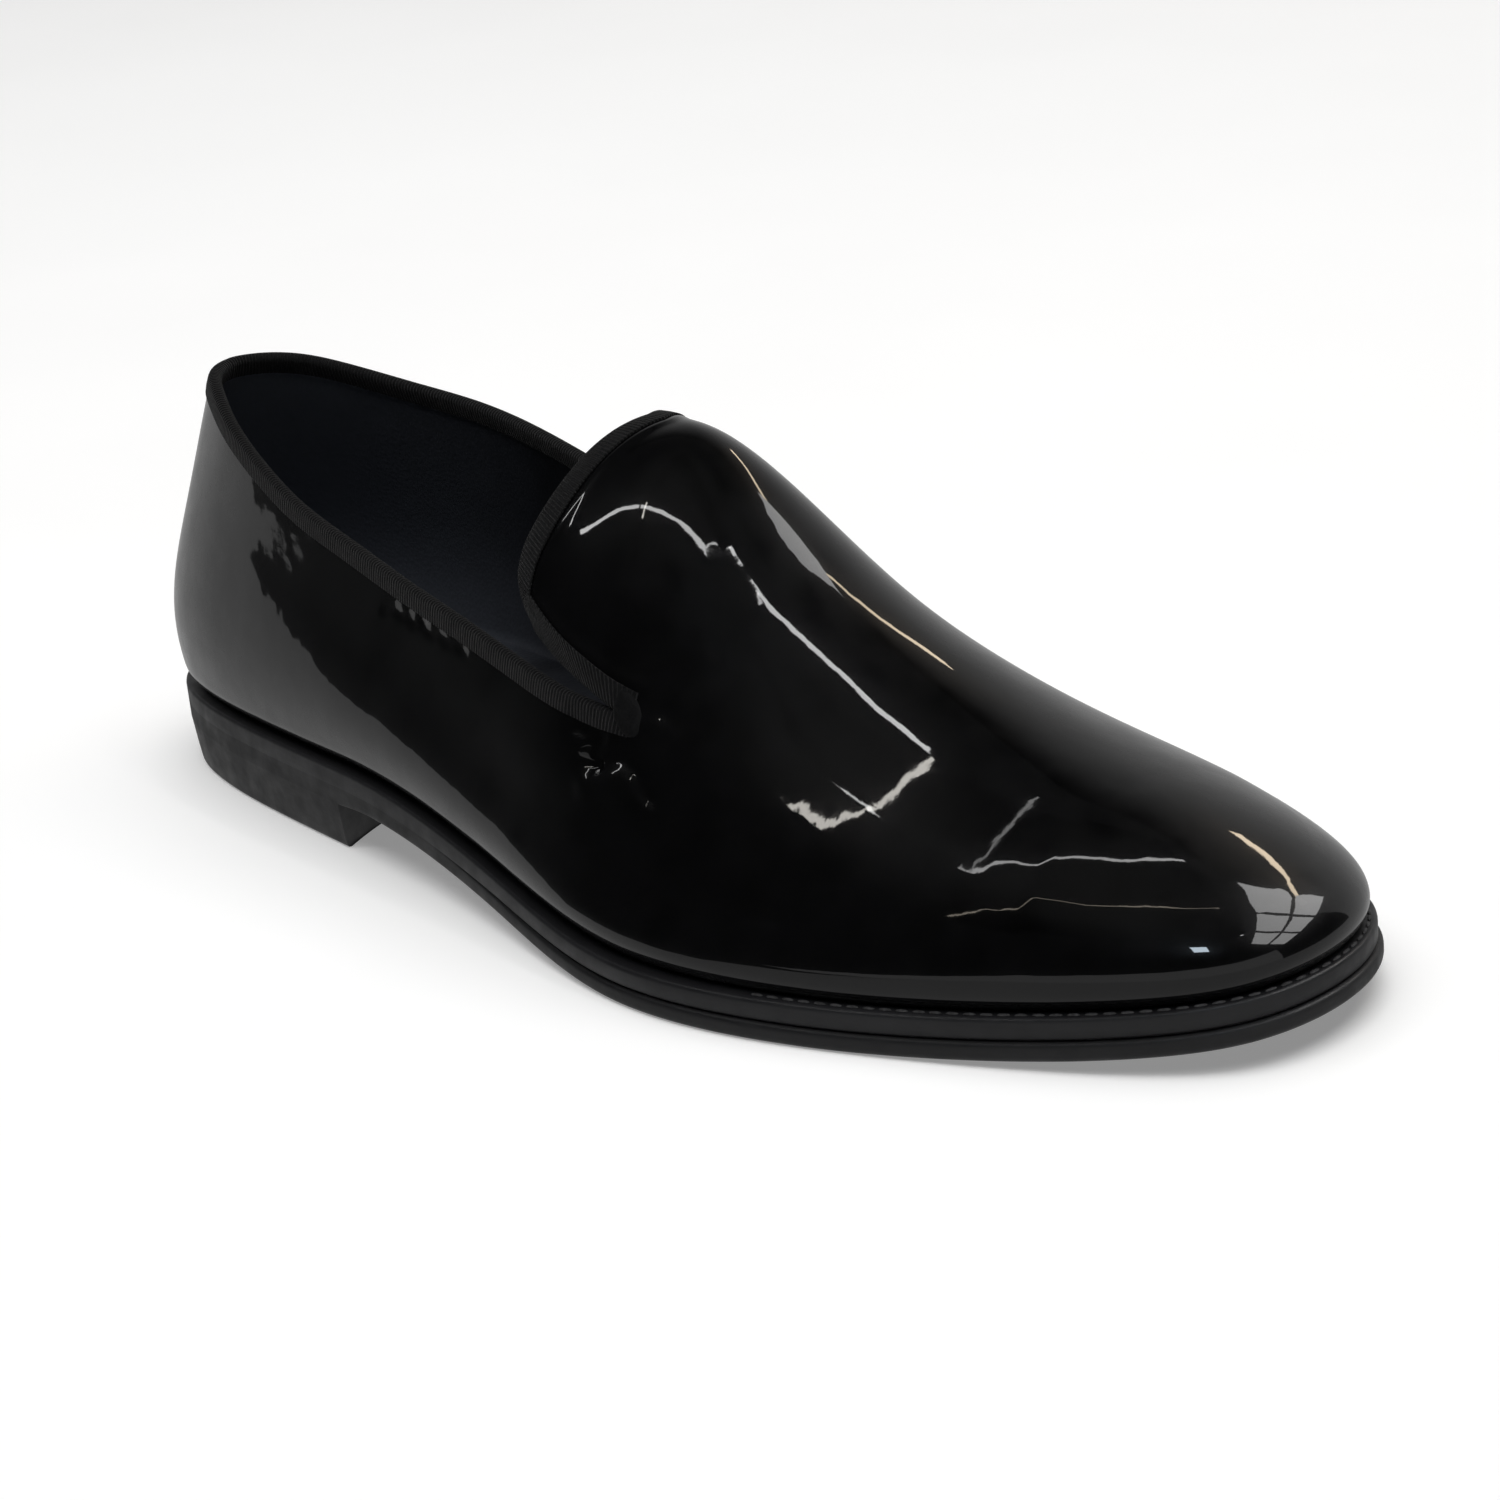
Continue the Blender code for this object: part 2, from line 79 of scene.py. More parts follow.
# Throat and its ribbon
NOTCH = 178.0
VAMP_ROW_ANGLE = np.radians(40.0)
VAMP_ROW_BLEND = 105.0
COLLAR_RIBBON, TONGUE_RIBBON = 3.0, 4.2
TONGUE_RIBBON_SHARE = 0.095
RIBBON_LIFT = 0.1
RIBBON_THICK = 0.5
FOLD_REACH, FOLD_POINTS = 0.75, 9
RIBBON_TAPER, RIBBON_END = 5.0, 0.15

# How finely the curves are cut
REAR_STATIONS, FRONT_STATIONS = 170, 110
WALL_ROWS, VAMP_ROWS, RIBBON_ROWS, TONGUE_COLUMNS = 36, 32, 5, 32
VAMP_CROWDING = 1.35
LOW_SHARES = (0, 0.12, 0.25, 0.4, 0.55, 0.75, 1.0, 1.25)
SOLE_STATIONS = 200
BREAST_POINTS = 24

# Half widths of the sole's edge in plan
OUTLINE = [
    # along, lateral, medial
    (7, 15.6, 15.4),
    (25, 25.8, 26.4),
    (50, 31.8, 31.0),
    (80, 36.6, 30.0),
    (110, 41.6, 24.5),
    (140, 48.4, 22.5),
    (168, 55.8, 29.0),
    (190, WIDEST_LATERAL, 38.5),
    (215, 55.0, 45.5),
    (240, 47.0, 48.0),
    (262, 38.2, 44.0),
    (280, 29.2, 36.0),
    (294, 17.6, 23.0),
]

# How far the upper's lower edge and the midsole's edge stand inside the sole's edge
LEDGE = [
    # along, upper, midsole
    (0, 1.2, 0.0),
    (80, 1.4, 0.0),
    (140, 2.0, 0.1),
    (200, 2.8, 0.6),
    (300, 2.6, 0.9),
]

# Ridge of the last: where the two halves of each section meet
RIDGE = [
    # along, height above the floor, sideways
    (15, 118.0, 0.0),
    (60, 118.0, -1.0),
    (100, 111.0, -2.5),
    (128, 99.0, -3.0),
    (147, 93.2, -3.0),
    (160, 92.4, -3.0),
    (174, 84.6, -2.8),
    (192, 67.6, -2.2),
    (212, 54.0, -1.5),
    (234, 44.2, -0.6),
    (258, 37.4, 0.0),
]

# Fullness of each section: 1 is a straight roof, 2 an ellipse, more is boxy
FULLNESS = [
    # along, lateral, medial
    (0, 1.47, 1.47),
    (18, 1.40, 1.48),
    (35, 1.50, 1.64),
    (65, 1.75, 2.15),
    (100, 1.95, 2.40),
    (144, 2.05, 2.30),
    (170, 1.82, 2.10),
    (205, 1.72, 2.00),
    (230, 1.80, 2.00),
    (258, 2.10, 2.10),
]

# Outward bulge of the wall above the feather edge
BULGE = [
    # along, lateral, medial, height of its crown
    (0, 3.6, 3.6, 21.0),
    (60, 3.2, 3.2, 18.5),
    (88, 3.0, 2.6, 15.0),
    (112, 2.6, 2.2, 12.0),
    (146, 2.0, 1.8, 8.5),
    (170, 1.4, 1.6, 6.5),
    (210, 1.2, 1.4, 6.0),
    (300, 1.2, 1.2, 7.0),
]

# Sole's rounded edges, from below: how far each level stands in, and its height
OUTSOLE_FOOT = [(1.3, 0.0), (0.7, 0.15), (0.3, 0.5), (0.08, 0.9)]
OUTSOLE_TOP = [(0, 1.4), (0, 2.5), (0.08, 3.0), (0.28, 3.4), (0.6, 3.65), (1.6, OUTSOLE_THICK + GAP - 0.05)]
FOOTBED = [(0, 0), (0, 2.0), (0.15, 2.35), (0.5, INSOLE_THICK), (4.0, 2.3), (9.0, 1.9), (14.0, 1.6)]
HEEL = [
    # inset, height
    (HEEL_TAPER + 1.1, 0.0),
    (HEEL_TAPER + 0.45, 0.2),
    (HEEL_TAPER + 0.12, 0.6),
    (HEEL_TAPER, 1.2),
    (HEEL_TAPER * 0.55, 5.0),
    (HEEL_TAPER * 0.2, 8.5),
    (0.0, HEEL_LIFT + 0.05),
]

# Midsole's edge: share of the groove and height at its foot, then inset and drop at its top
GROOVE = 0.5
MIDSOLE_FOOT = [(1.1, -0.04), (0.5, 0.2), (0, 0.6)]
MIDSOLE_TOP = [(0, 0.9), (0.12, 0.4), (0.4, 0.1), (0.8, 0)]
STEP_START, STEP_BLEND, BREAST_BLEND = 110.0, 70.0, 12.0

# Height of the quarters' top edge above the floor
TOPLINE = [
    # along, lateral, medial
    (0, 87.5, 87.5),
    (25, 84.0, 85.3),
    (53, 75.7, 79.7),
    (70, 70.3, 77.4),
    (88, 66.5, 75.0),
    (109, 62.1, 71.9),
    (127, 58.8, 68.3),
    (151, 54.3, 61.9),
    (178, 50.0, 54.2),
]

# Free edge of the tongue, from its lower corner (share 0) to the ridge (share 1)
TONGUE_BACK = [
    # share, along
    (0.00, 151.6),
    (0.05, 146.0),
    (0.12, 143.4),
    (0.26, 143.8),
    (0.47, 145.9),
    (0.72, 147.9),
    (1.00, 150.2),
]

# Slit between the quarter's top edge and the side edge of the tongue
SLIT = [
    # along, opening in degrees of the section
    (143, 9.5),
    (152, 6.3),
    (159, 4.4),
    (165, 3.2),
    (170, 2.2),
    (174, 1.5),
    (178, 1.0),
]

# Creases of the upper: depth (a ridge is negative), half width, then places as along and angle
CREASES = [
    # side, depth, half width, path
    (LATERAL, 1.2, 1.7, [(165.3, 30.1), (171.9, 31.4), (169.2, 27.3), (171.2, 27.3)]),
    (LATERAL, 1.2, 1.8, [(171.2, 27.3), (177.5, 32.1), (182.1, 32.3), (185, 30)]),
    (LATERAL, -0.5, 2.2, [(170, 23.5), (176, 27), (182, 27.5)]),
    (LATERAL, -0.45, 1.7, [(180.5, 38.7), (182.5, 40.1), (185, 40.6)]),
    (LATERAL, 0.3, 2.6, [(186.3, 36.9), (188.3, 33.2), (189.6, 29.1), (189, 23.9)]),
    (LATERAL, 0.3, 1.7, [(194.5, 24.2), (197.5, 22.3), (200, 21)]),
    (LATERAL, 0.4, 1.6, [(206, 17.5), (209.7, 20.2), (214.5, 20.5)]),
    (LATERAL, 0.3, 1.0, [(103, 25), (106.5, 26.2), (109, 25.5), (111.5, 26.6), (113, 25.4), (116, 26.7)]),
    (LATERAL, 0.3, 1.0, [(116, 26.7), (119.5, 25.8), (121, 27.2), (124.5, 26.4), (127, 27.7), (130, 27.4)]),
    (MEDIAL, 0.7, 2.0, [(169, 38), (175, 33), (182, 33), (189, 30)]),
    (MEDIAL, 0.35, 2.6, [(198, 32), (206, 24)]),
]

# Swelling of the vamp against the inner edge of the tongue's ribbon
LIP_HEIGHT, LIP_HALF_WIDTH, LIP_AHEAD = 0.35, 1.0, 0.9


def second_derivatives(step, slope, closed):
    """Bending of a cubic spline at its knots, from the spacing and the slopes of the chords."""
    size = len(step) if closed else len(step) + 1
    matrix = np.eye(size)
    right = np.zeros(size)
    rows = range(size) if closed else range(1, size - 1)
    for row in rows:
        before, after = (row - 1) % len(step), row % len(step)
        matrix[row, row] = 2 * (step[before] + step[after])
        matrix[row, (row - 1) % size] = step[before]
        matrix[row, (row + 1) % size] = step[after]
        right[row] = 6 * (slope[after] - slope[before])
    return np.linalg.solve(matrix, right)


def spline(knots, values, closed=False):
    """Smooth function through the values at the knots. A closed one ends where it starts."""
    knots = np.asarray(knots, float)
    values = np.asarray(values, float)
    step = np.diff(knots)
    bend = second_derivatives(step, np.diff(values) / step, closed)
    if closed:
        bend = np.append(bend, bend[0])

    def at(where):
        where = np.clip(where, knots[0], knots[-1])
        i = np.clip(np.searchsorted(knots, where) - 1, 0, len(step) - 1)
        left, right, h = knots[i + 1] - where, where - knots[i], step[i]
        curve = (bend[i] * left**3 + bend[i + 1] * right**3) / (6 * h)
        chord = (values[i] / h - bend[i] * h / 6) * left
        return curve + chord + (values[i + 1] / h - bend[i + 1] * h / 6) * right

    return at


def column(table, index):
    """The table's column as a smooth function of its first one."""
    return spline([row[0] for row in table], [row[index] for row in table])


def ease(share):
    """Rises smoothly from 0 to 1 as the share does."""
    share = np.clip(share, 0, 1)
    return share * share * (3 - 2 * share)


def unit(vectors):
    """The vectors, each at length 1."""
    return vectors / np.linalg.norm(vectors, axis=-1, keepdims=True)


def run_along(points):
    """The distance run along a path at each of its points."""
    return np.append(0, np.cumsum(np.linalg.norm(np.diff(points, axis=0), axis=1)))


def soft_floor(value, low, blend):
    """The value itself above low + blend, easing to low below low - blend."""
    share = np.clip((value - low + blend) / (2 * blend), 0, 1)
    eased = low + 2 * blend * (share**3 - share**4 / 2)
    return np.where(value > low + blend, value, eased)


def sole_underside(along):
    """Height of the outsole's underside: heel seat, arch, flat ball and toe spring."""
    arch = 1 - ease((along - ARCH_START) / (BALL_START - ARCH_START))
    toe = np.clip((along - BALL_END) / (LENGTH - BALL_END), 0, None)
    return HEEL_LIFT * arch + TOE_SPRING * toe**2


def midsole_underside(along):
    return sole_underside(along) + OUTSOLE_THICK + GAP


def feather_height(along):
    """Height at which the upper rests, a gap above the midsole."""
    return midsole_underside(along) + MIDSOLE_THICK + GAP


def sole_edge(samples=6000):
    """The sole's closed edge in plan, from the heel's back along the lateral side and back."""
    lateral = [(row[0], -row[1]) for row in OUTLINE]
    medial = [(row[0], row[2]) for row in reversed(OUTLINE)]
    points = np.array([(0, 0), *lateral, (LENGTH, 0), *medial, (0, 0)], float)
    run = run_along(points)
    where = np.linspace(0, run[-1], samples, endpoint=False)
    return np.stack([spline(run, points[:, k], closed=True)(where) for k in (0, 1)], 1)


EDGE = sole_edge()


class Plan:
    """A closed curve that follows the sole's edge in plan, a little inside it."""

    def __init__(self, inset):
        heading = unit(np.roll(EDGE, -1, axis=0) - np.roll(EDGE, 1, axis=0))
        inward = np.stack([-heading[:, 1], heading[:, 0]], 1)
        curve = EDGE + inward * np.reshape(inset(EDGE[:, 0]), (-1, 1))
        curve = np.roll(curve, -int(np.argmin(curve[:, 0])), axis=0)
        curve = np.append(curve, curve[:1], axis=0)
        toe = int(np.argmax(curve[:, 0]))
        self.low, self.high = curve[0, 0], curve[toe, 0]
        self.half = {LATERAL: curve[: toe + 1], MEDIAL: curve[toe:][::-1]}

    def sideways(self, along, side):
        half = self.half[side]
        rising = np.maximum.accumulate(half[:, 0])
        return np.interp(along, rising, half[:, 1])

    def stations(self, start, end, count):
        """Places along the shoe, evenly spaced along the lateral edge between two of them."""
        half = self.half[LATERAL]
        run = run_along(half)
        rising = np.maximum.accumulate(half[:, 0])
        ends = np.interp([start, end], rising, run)
        places = np.interp(np.linspace(*ends, count + 1), run, rising)
        places[[0, -1]] = start, end
        return places


FEATHER = Plan(column(LEDGE, 1))
RIDGE_HEIGHT, RIDGE_SIDEWAYS = column(RIDGE, 1), column(RIDGE, 2)
TOE_SLOPE = RIDGE_HEIGHT(TOE_PIVOT) - RIDGE_HEIGHT(TOE_PIVOT - 1)
SIDE_FULLNESS = {LATERAL: column(FULLNESS, 1), MEDIAL: column(FULLNESS, 2)}
SIDE_BULGE = {LATERAL: column(BULGE, 1), MEDIAL: column(BULGE, 2)}
BULGE_HEIGHT = column(BULGE, 3)
SIDE_TOPLINE = {LATERAL: column(TOPLINE, 1), MEDIAL: column(TOPLINE, 2)}
TONGUE_ALONG = column(TONGUE_BACK, 1)
SLIT_OPENING = column(SLIT, 1)


def spine_along(along):
    """The place of a section's ridge. The heel's and the toe's sections fan out from a pivot."""
    forward = soft_floor(along, HEEL_PIVOT, HEEL_BLEND)
    return LENGTH - soft_floor(LENGTH - forward, LENGTH - TOE_PIVOT, TOE_BLEND)


def section_height(along):
    return RIDGE_HEIGHT(spine_along(along)) - feather_height(along)


def tuck(along):
    """How far the wall turns in at its foot: less round the forefoot."""
    return TUCK + (TOE_TUCK - TUCK) * ease((along - TUCK_CHANGE) / TUCK_BLEND)


def section_line(along, side):
    """A section in plan: its ridge's place along and sideways, its reach outwards and its span."""
    spine = spine_along(along)
    middle = RIDGE_SIDEWAYS(spine)
    out = np.stack([along - spine, FEATHER.sideways(along, side) - middle], -1)
    return spine, middle, out, np.hypot(out[..., 0], out[..., 1])


def upper_point(along, side, angle):
    """A point of the upper's outside: angle 0 is the feather edge, a right angle the ridge."""
    along, angle = np.broadcast_arrays(np.asarray(along, float), np.asarray(angle, float))
    spine, middle, out, span = section_line(along, side)
    power = 2 / SIDE_FULLNESS[side](along)
    turn = np.clip(angle, 0, np.pi / 2)
    rise = section_height(along) * np.sin(turn) ** power
    reach = span * np.cos(turn) ** power
    lift = rise / BULGE_HEIGHT(along)
    reach = reach + SIDE_BULGE[side](along) * lift * np.exp((1 - lift**2) / 2) * np.cos(turn)
    reach = reach - tuck(along) * np.clip(1 - rise / TUCK_HEIGHT, 0, 1) ** 2
    share = reach / span
    ahead, across = out[..., 0] * share, out[..., 1] * share
    rise = rise + TOE_SLOPE * np.clip(ahead, 0, None) * np.sin(turn) ** 2
    return np.stack([spine + ahead, middle + across, feather_height(along) + rise], -1)


def margin_point(along, side, inward):
    """A point of the lasting margin that is turned in under the insole."""
    spine, middle, out, span = section_line(along, side)
    share = (span - tuck(along) - inward) / span
    x = spine + out[..., 0] * share
    return np.stack([x, middle + out[..., 1] * share, feather_height(x)], -1)


def angle_at(along, side, height):
    """The section's angle at a height above the feather edge."""
    power = SIDE_FULLNESS[side](along) / 2
    return np.arcsin(np.clip(height / section_height(along), 0, 1) ** power)


def throat_angle(along, side):
    """The quarter's top edge and, ahead of the notch, the line that carries it on to the toe."""
    rim = angle_at(along, side, SIDE_TOPLINE[side](along) - feather_height(along))
    notch = angle_at(NOTCH, side, SIDE_TOPLINE[side](NOTCH) - feather_height(NOTCH))
    ahead = notch + (VAMP_ROW_ANGLE - notch) * ease((along - NOTCH) / VAMP_ROW_BLEND)
    return np.where(along > NOTCH, ahead, rim)


def tongue_angle(along, side):
    """The side edge of the tongue and, ahead of the notch, the lower line of the vamp's top."""
    return throat_angle(along, side) + np.radians(SLIT_OPENING(along))


def ribbon_angle(along, side, angle, width):
    """The angle that a ribbon's width takes up at a place of the section."""
    small = 0.01
    run = upper_point(along, side, angle + small) - upper_point(along, side, angle - small)
    return width * 2 * small / np.linalg.norm(run, axis=-1)


def wall_grid(along, side):
    """Rows of points up the wall from the lasting margin to the throat, one column a station."""
    rim = throat_angle(along, side)
    below = rim - ribbon_angle(along, side, rim, COLLAR_RIBBON)
    rows = [margin_point(along, side, inward) for inward in (LASTING_MARGIN, MARGIN_EDGE)]
    low = [angle_at(along, side, TUCK_HEIGHT * share) for share in LOW_SHARES]
    between = np.linspace(0, 1, WALL_ROWS + 1)[1:, None]
    rows += [upper_point(along, side, angle) for angle in low]
    rows += list(upper_point(along, side, low[-1] + (below - low[-1]) * between))
    rows.append(upper_point(along, side, rim))
    return np.array(rows)


def vamp_grid(front, side):
    """Rows of points from the tongue's side edge to the ridge, from its free edge to the toe."""
    rows = []
    for row in range(RIBBON_ROWS + VAMP_ROWS + 1):
        bound = min(row / RIBBON_ROWS, 1)
        share = (max(0, row - RIBBON_ROWS) / VAMP_ROWS) ** VAMP_CROWDING
        back = TONGUE_ALONG(TONGUE_RIBBON_SHARE * bound + (1 - TONGUE_RIBBON_SHARE) * share)
        tongue = np.linspace(back + TONGUE_RIBBON, NOTCH, TONGUE_COLUMNS + 1)
        along = np.concatenate([[back], tongue[:-1], front])
        edge = tongue_angle(along, side)
        start = edge + ribbon_angle(along, side, edge, TONGUE_RIBBON) * bound
        rows.append(upper_point(along, side, start + (np.pi / 2 - start) * share))
    return np.array(rows)


class Sheet:
    """An open surface that gathers points and faces, sharing the points that coincide."""

    def __init__(self):
        self.points = []
        self.faces = []
        self.known = {}

    def point(self, place):
        key = tuple(np.round(place, 3))
        if key not in self.known:
            self.known[key] = len(self.points)
            self.points.append(np.asarray(place, float))
        return self.known[key]

    def face(self, *corners):
        kept = [c for k, c in enumerate(corners) if c != corners[k - 1]]
        if len(set(kept)) > 2:
            self.faces.append(kept)

    def grid(self, rows, flip):
        """Adds a grid of points as four-sided faces, and returns their numbers."""
        index = np.array([[self.point(place) for place in row] for row in rows])
        for r in range(len(index) - 1):
            self.strip(index[r], index[r + 1], flip)
        return index

    def strip(self, lower, upper, flip):
        for k in range(len(lower) - 1):
            corners = (lower[k], lower[k + 1], upper[k + 1], upper[k])
            self.face(*(corners[::-1] if flip else corners))

    def normals(self):
        points = np.array(self.points)
        total = np.zeros_like(points)
        for face in self.faces:
            ring = points[face]
            centre = ring.mean(0)
            turned = np.cross(ring - centre, np.roll(ring, -1, axis=0) - centre).sum(0)
            total[face] += turned
        return unit(total)

    def border(self):
        """Directed edges that belong to one face only."""
        edges = {(f[k - 1], f[k]) for f in self.faces for k in range(len(f))}
        return [edge for edge in edges if edge[::-1] not in edges]

    def between(self, outer, inner):
        """The closed solid between two depths under this surface."""
        points = np.array(self.points)
        normals = self.normals()
        count = len(points)
        faces = list(self.faces)
        faces += [[c + count for c in reversed(face)] for face in self.faces]
        faces += [[b, a, a + count, b + count] for a, b in sorted(self.border())]
        return np.concatenate([points - normals * outer, points - normals * inner]), faces


def upper_sheet():
    """The upper's outside, with the two edges that the ribbons cover."""
    sheet = Sheet()
    rear = FEATHER.stations(FEATHER.low, NOTCH, REAR_STATIONS)
    front = FEATHER.stations(NOTCH, FEATHER.high, FRONT_STATIONS)
    along = np.append(rear, front[1:])
    walls = {side: wall_grid(along, side) for side in SIDES}
    vamps = {side: vamp_grid(front, side) for side in SIDES}
    walls[MEDIAL][:, [0, -1]] = walls[LATERAL][:, [0, -1]]
    vamps[MEDIAL][:, -1] = vamps[LATERAL][:, -1]
    edges = {}
    for side in SIDES:
        wall = sheet.grid(walls[side], flip=side == MEDIAL)
        vamp = sheet.grid(vamps[side], flip=side == MEDIAL)
        ahead = len(front)
        sheet.strip(wall[-1, -ahead:], vamp[0, -ahead:], flip=side == MEDIAL)
        quarter = [(wall[-1, k], wall[-2, k]) for k in range(REAR_STATIONS, -1, -1)]
        bound = vamp[RIBBON_ROWS]
        tongue = [(vamp[0, k], bound[k]) for k in range(TONGUE_COLUMNS + 1, 0, -1)]
        tongue += [(row[0], bound[1]) for row in vamp[:RIBBON_ROWS]]
        tongue += [(row[0], row[1]) for row in vamp[RIBBON_ROWS:]]
        edges[side] = quarter, tongue
    collar, tongue = (edges[LATERAL][k] + edges[MEDIAL][k][::-1][1:] for k in (0, 1))
    return sheet, collar, tongue[::-1]


def distance_to_path(points, path):
    """Each point's distance to the nearest of a path's straight pieces."""
    nearest = np.full(len(points), np.inf)
    for start, end in zip(path[:-1], path[1:]):
        run = end - start
        share = np.clip((points - start) @ run / (run @ run), 0, 1)
        gap = points - start - share[:, None] * run
        nearest = np.minimum(nearest, np.linalg.norm(gap, axis=1))
    return nearest


def lip_line(sheet, rim):
    """The line along which the vamp swells against the ribbon's inner edge."""
    points = np.array(sheet.points)
    outer, inner = (points[[pair[k] for pair in rim]] for k in (0, 1))
    return inner + unit(inner - outer) * LIP_AHEAD


def crease(sheet, tongue):
    """Presses the creases into the sheet and raises the lip along the tongue."""
    points = np.array(sheet.points)
    depth = np.zeros(len(points))
    for side, deep, half_width, path in CREASES:
        spots = [upper_point(along, side, np.radians(angle)) for along, angle in path]
        gap = distance_to_path(points, np.array(spots)) / half_width
        depth += deep * np.exp(-gap**2)
    gap = distance_to_path(points, lip_line(sheet, tongue)) / LIP_HALF_WIDTH
    depth -= LIP_HEIGHT * np.exp(-gap**2)
    sheet.points = list(points - sheet.normals() * depth[:, None])


def ribbon_ring(rim, rim_out, inner, inner_out, swell):
    """The folded ribbon's cut across one place of an edge, as a closed ring of points."""
    away = rim - inner
    away = unit(away - rim_out * (away @ rim_out))
    thick = RIBBON_LIFT + RIBBON_THICK * swell
    half = WALL / 2 + thick
    middle = rim - rim_out * WALL / 2
    halfway, halfway_out = (rim + inner) / 2, (rim_out + inner_out) / 2
    ring = [
        inner - inner_out * (WALL + RIBBON_LIFT),
        inner - inner_out * (WALL + thick * 0.8),
        halfway - halfway_out * (WALL + thick),
    ]
    for turn in np.linspace(-np.pi / 2, np.pi / 2, FOLD_POINTS):
        ring.append(middle + rim_out * half * np.sin(turn) + away * FOLD_REACH * half * np.cos(turn))
    ring += [
        halfway + halfway_out * thick * 1.05,
        inner + inner_out * thick * 0.85,
        inner + inner_out * RIBBON_LIFT,
        rim + rim_out * RIBBON_LIFT + away * RIBBON_LIFT,
        rim - rim_out * (WALL + RIBBON_LIFT) + away * RIBBON_LIFT,
    ]
    return ring


def ribbon(sheet, rim):
    """A ribbon folded over an edge of the upper: points, faces, and each point's run along it."""
    normals = sheet.normals()
    points = np.array(sheet.points)
    run = run_along([points[a] for a, b in rim])
    swell = RIBBON_END + (1 - RIBBON_END) * ease(np.minimum(run, run[-1] - run) / RIBBON_TAPER)
    ends = zip(rim, swell)
    rings = np.array([ribbon_ring(points[a], normals[a], points[b], normals[b], s) for (a, b), s in ends])
    count, size = rings.shape[:2]
    faces = []
    for k in range(count - 1):
        for j in range(size):
            after = (j + 1) % size
            faces.append([k * size + j, k * size + after, (k + 1) * size + after, (k + 1) * size + j])
    faces.append(list(range(size - 1, -1, -1)))
    faces.append([(count - 1) * size + j for j in range(size)])
    across = np.tile(np.arange(size) / size, count)
    return rings.reshape(-1, 3), faces, np.stack([np.repeat(run, size), across], 1)


# Tab over the notch: its middle ahead of the notch, half sizes, height and how finely it is cut
TAB_AHEAD, TAB_HALF_LENGTH, TAB_HALF_ANGLE = -1.2, 3.4, np.radians(3.0)
TAB_CROWN, TAB_POINTS = 0.75, 13


def notch_tab(side):
    """The small end of ribbon that covers the place where the two ribbons meet."""
    centre = throat_angle(NOTCH, side) + np.radians(SLIT_OPENING(NOTCH)) / 2
    up, forth = np.meshgrid(np.linspace(-1, 1, TAB_POINTS), np.linspace(-1, 1, TAB_POINTS), indexing="ij")
    along = NOTCH + TAB_AHEAD + TAB_HALF_LENGTH * forth * np.sqrt(1 - 0.5 * up**2)
    angle = centre + TAB_HALF_ANGLE * up * np.sqrt(1 - 0.5 * forth**2)
    spot = upper_point(along, side, angle)
    forward = upper_point(along + 0.1, side, angle) - spot
    upward = upper_point(along, side, angle + 0.001) - spot
    out = unit(np.cross(forward, upward) * -side)
    crown = TAB_CROWN * np.sqrt(np.clip(1 - np.maximum(abs(up), abs(forth)) ** 4, 0.02, 1))
    sheet = Sheet()
    sheet.grid(spot + out * crown[..., None], flip=side == MEDIAL)
    return sheet.between(0.0, TAB_CROWN * 1.2)


def plate(rows):
    """A solid with the sole's outline. Each row of its side is an inset and a height, upwards."""
    sheet = Sheet()
    sides = {LATERAL: [], MEDIAL: []}
    for inset, height in rows:
        plan = Plan(inset)
        along = plan.stations(plan.low, plan.high, SOLE_STATIONS)
        for side in sides:
            across = plan.sideways(along, side)
            sides[side].append(np.stack([along, across, height(along)], 1))
    index = {side: sheet.grid(sides[side], flip=side == MEDIAL) for side in sides}
    sheet.strip(index[MEDIAL][0], index[LATERAL][0], flip=False)
    sheet.strip(index[MEDIAL][-1], index[LATERAL][-1], flip=True)
    return sheet.points, sheet.faces


def above(base, lift):
    return lambda along: base(along) + lift


def widened(base, extra, share):
    return lambda along: base(along) + share * extra(along)


def forefoot(amount):
    """An inset that is nothing at the heel and waist and grows to its amount at the ball."""
    return lambda along: amount * ease((along - STEP_START) / STEP_BLEND)


def ahead_of_breast(amount):
    """An inset that is nothing over the heel block and its amount ahead of it."""
    return lambda along: amount * ease((along - BREAST) / BREAST_BLEND)


def outsole():
    """Lower layer: its edge bulges a little at the forefoot and rolls under at the floor."""
    rows = [(ahead_of_breast(inset), above(sole_underside, lift)) for inset, lift in OUTSOLE_FOOT]
    rows += [(forefoot(inset), above(sole_underside, lift)) for inset, lift in OUTSOLE_TOP]
    return plate(rows)


def midsole():
    """Upper layer: steps in from the outsole around the forefoot, flush with it behind."""
    step, groove = column(LEDGE, 2), forefoot(GROOVE)
    rows = [(widened(step, groove, share), above(midsole_underside, lift)) for share, lift in MIDSOLE_FOOT]
    top = above(midsole_underside, MIDSOLE_THICK)
    rows += [(above(step, inset), above(top, -drop)) for inset, drop in MIDSOLE_TOP]
    return plate(rows)


def footbed():
    """Insole lying on the lasting margin: its edge is rounded and its middle dished."""
    ledge = column(LEDGE, 1)
    base = above(feather_height, WALL + GAP)
    return plate([(above(ledge, INSOLE_INSET + inset), above(base, lift)) for inset, lift in FOOTBED])


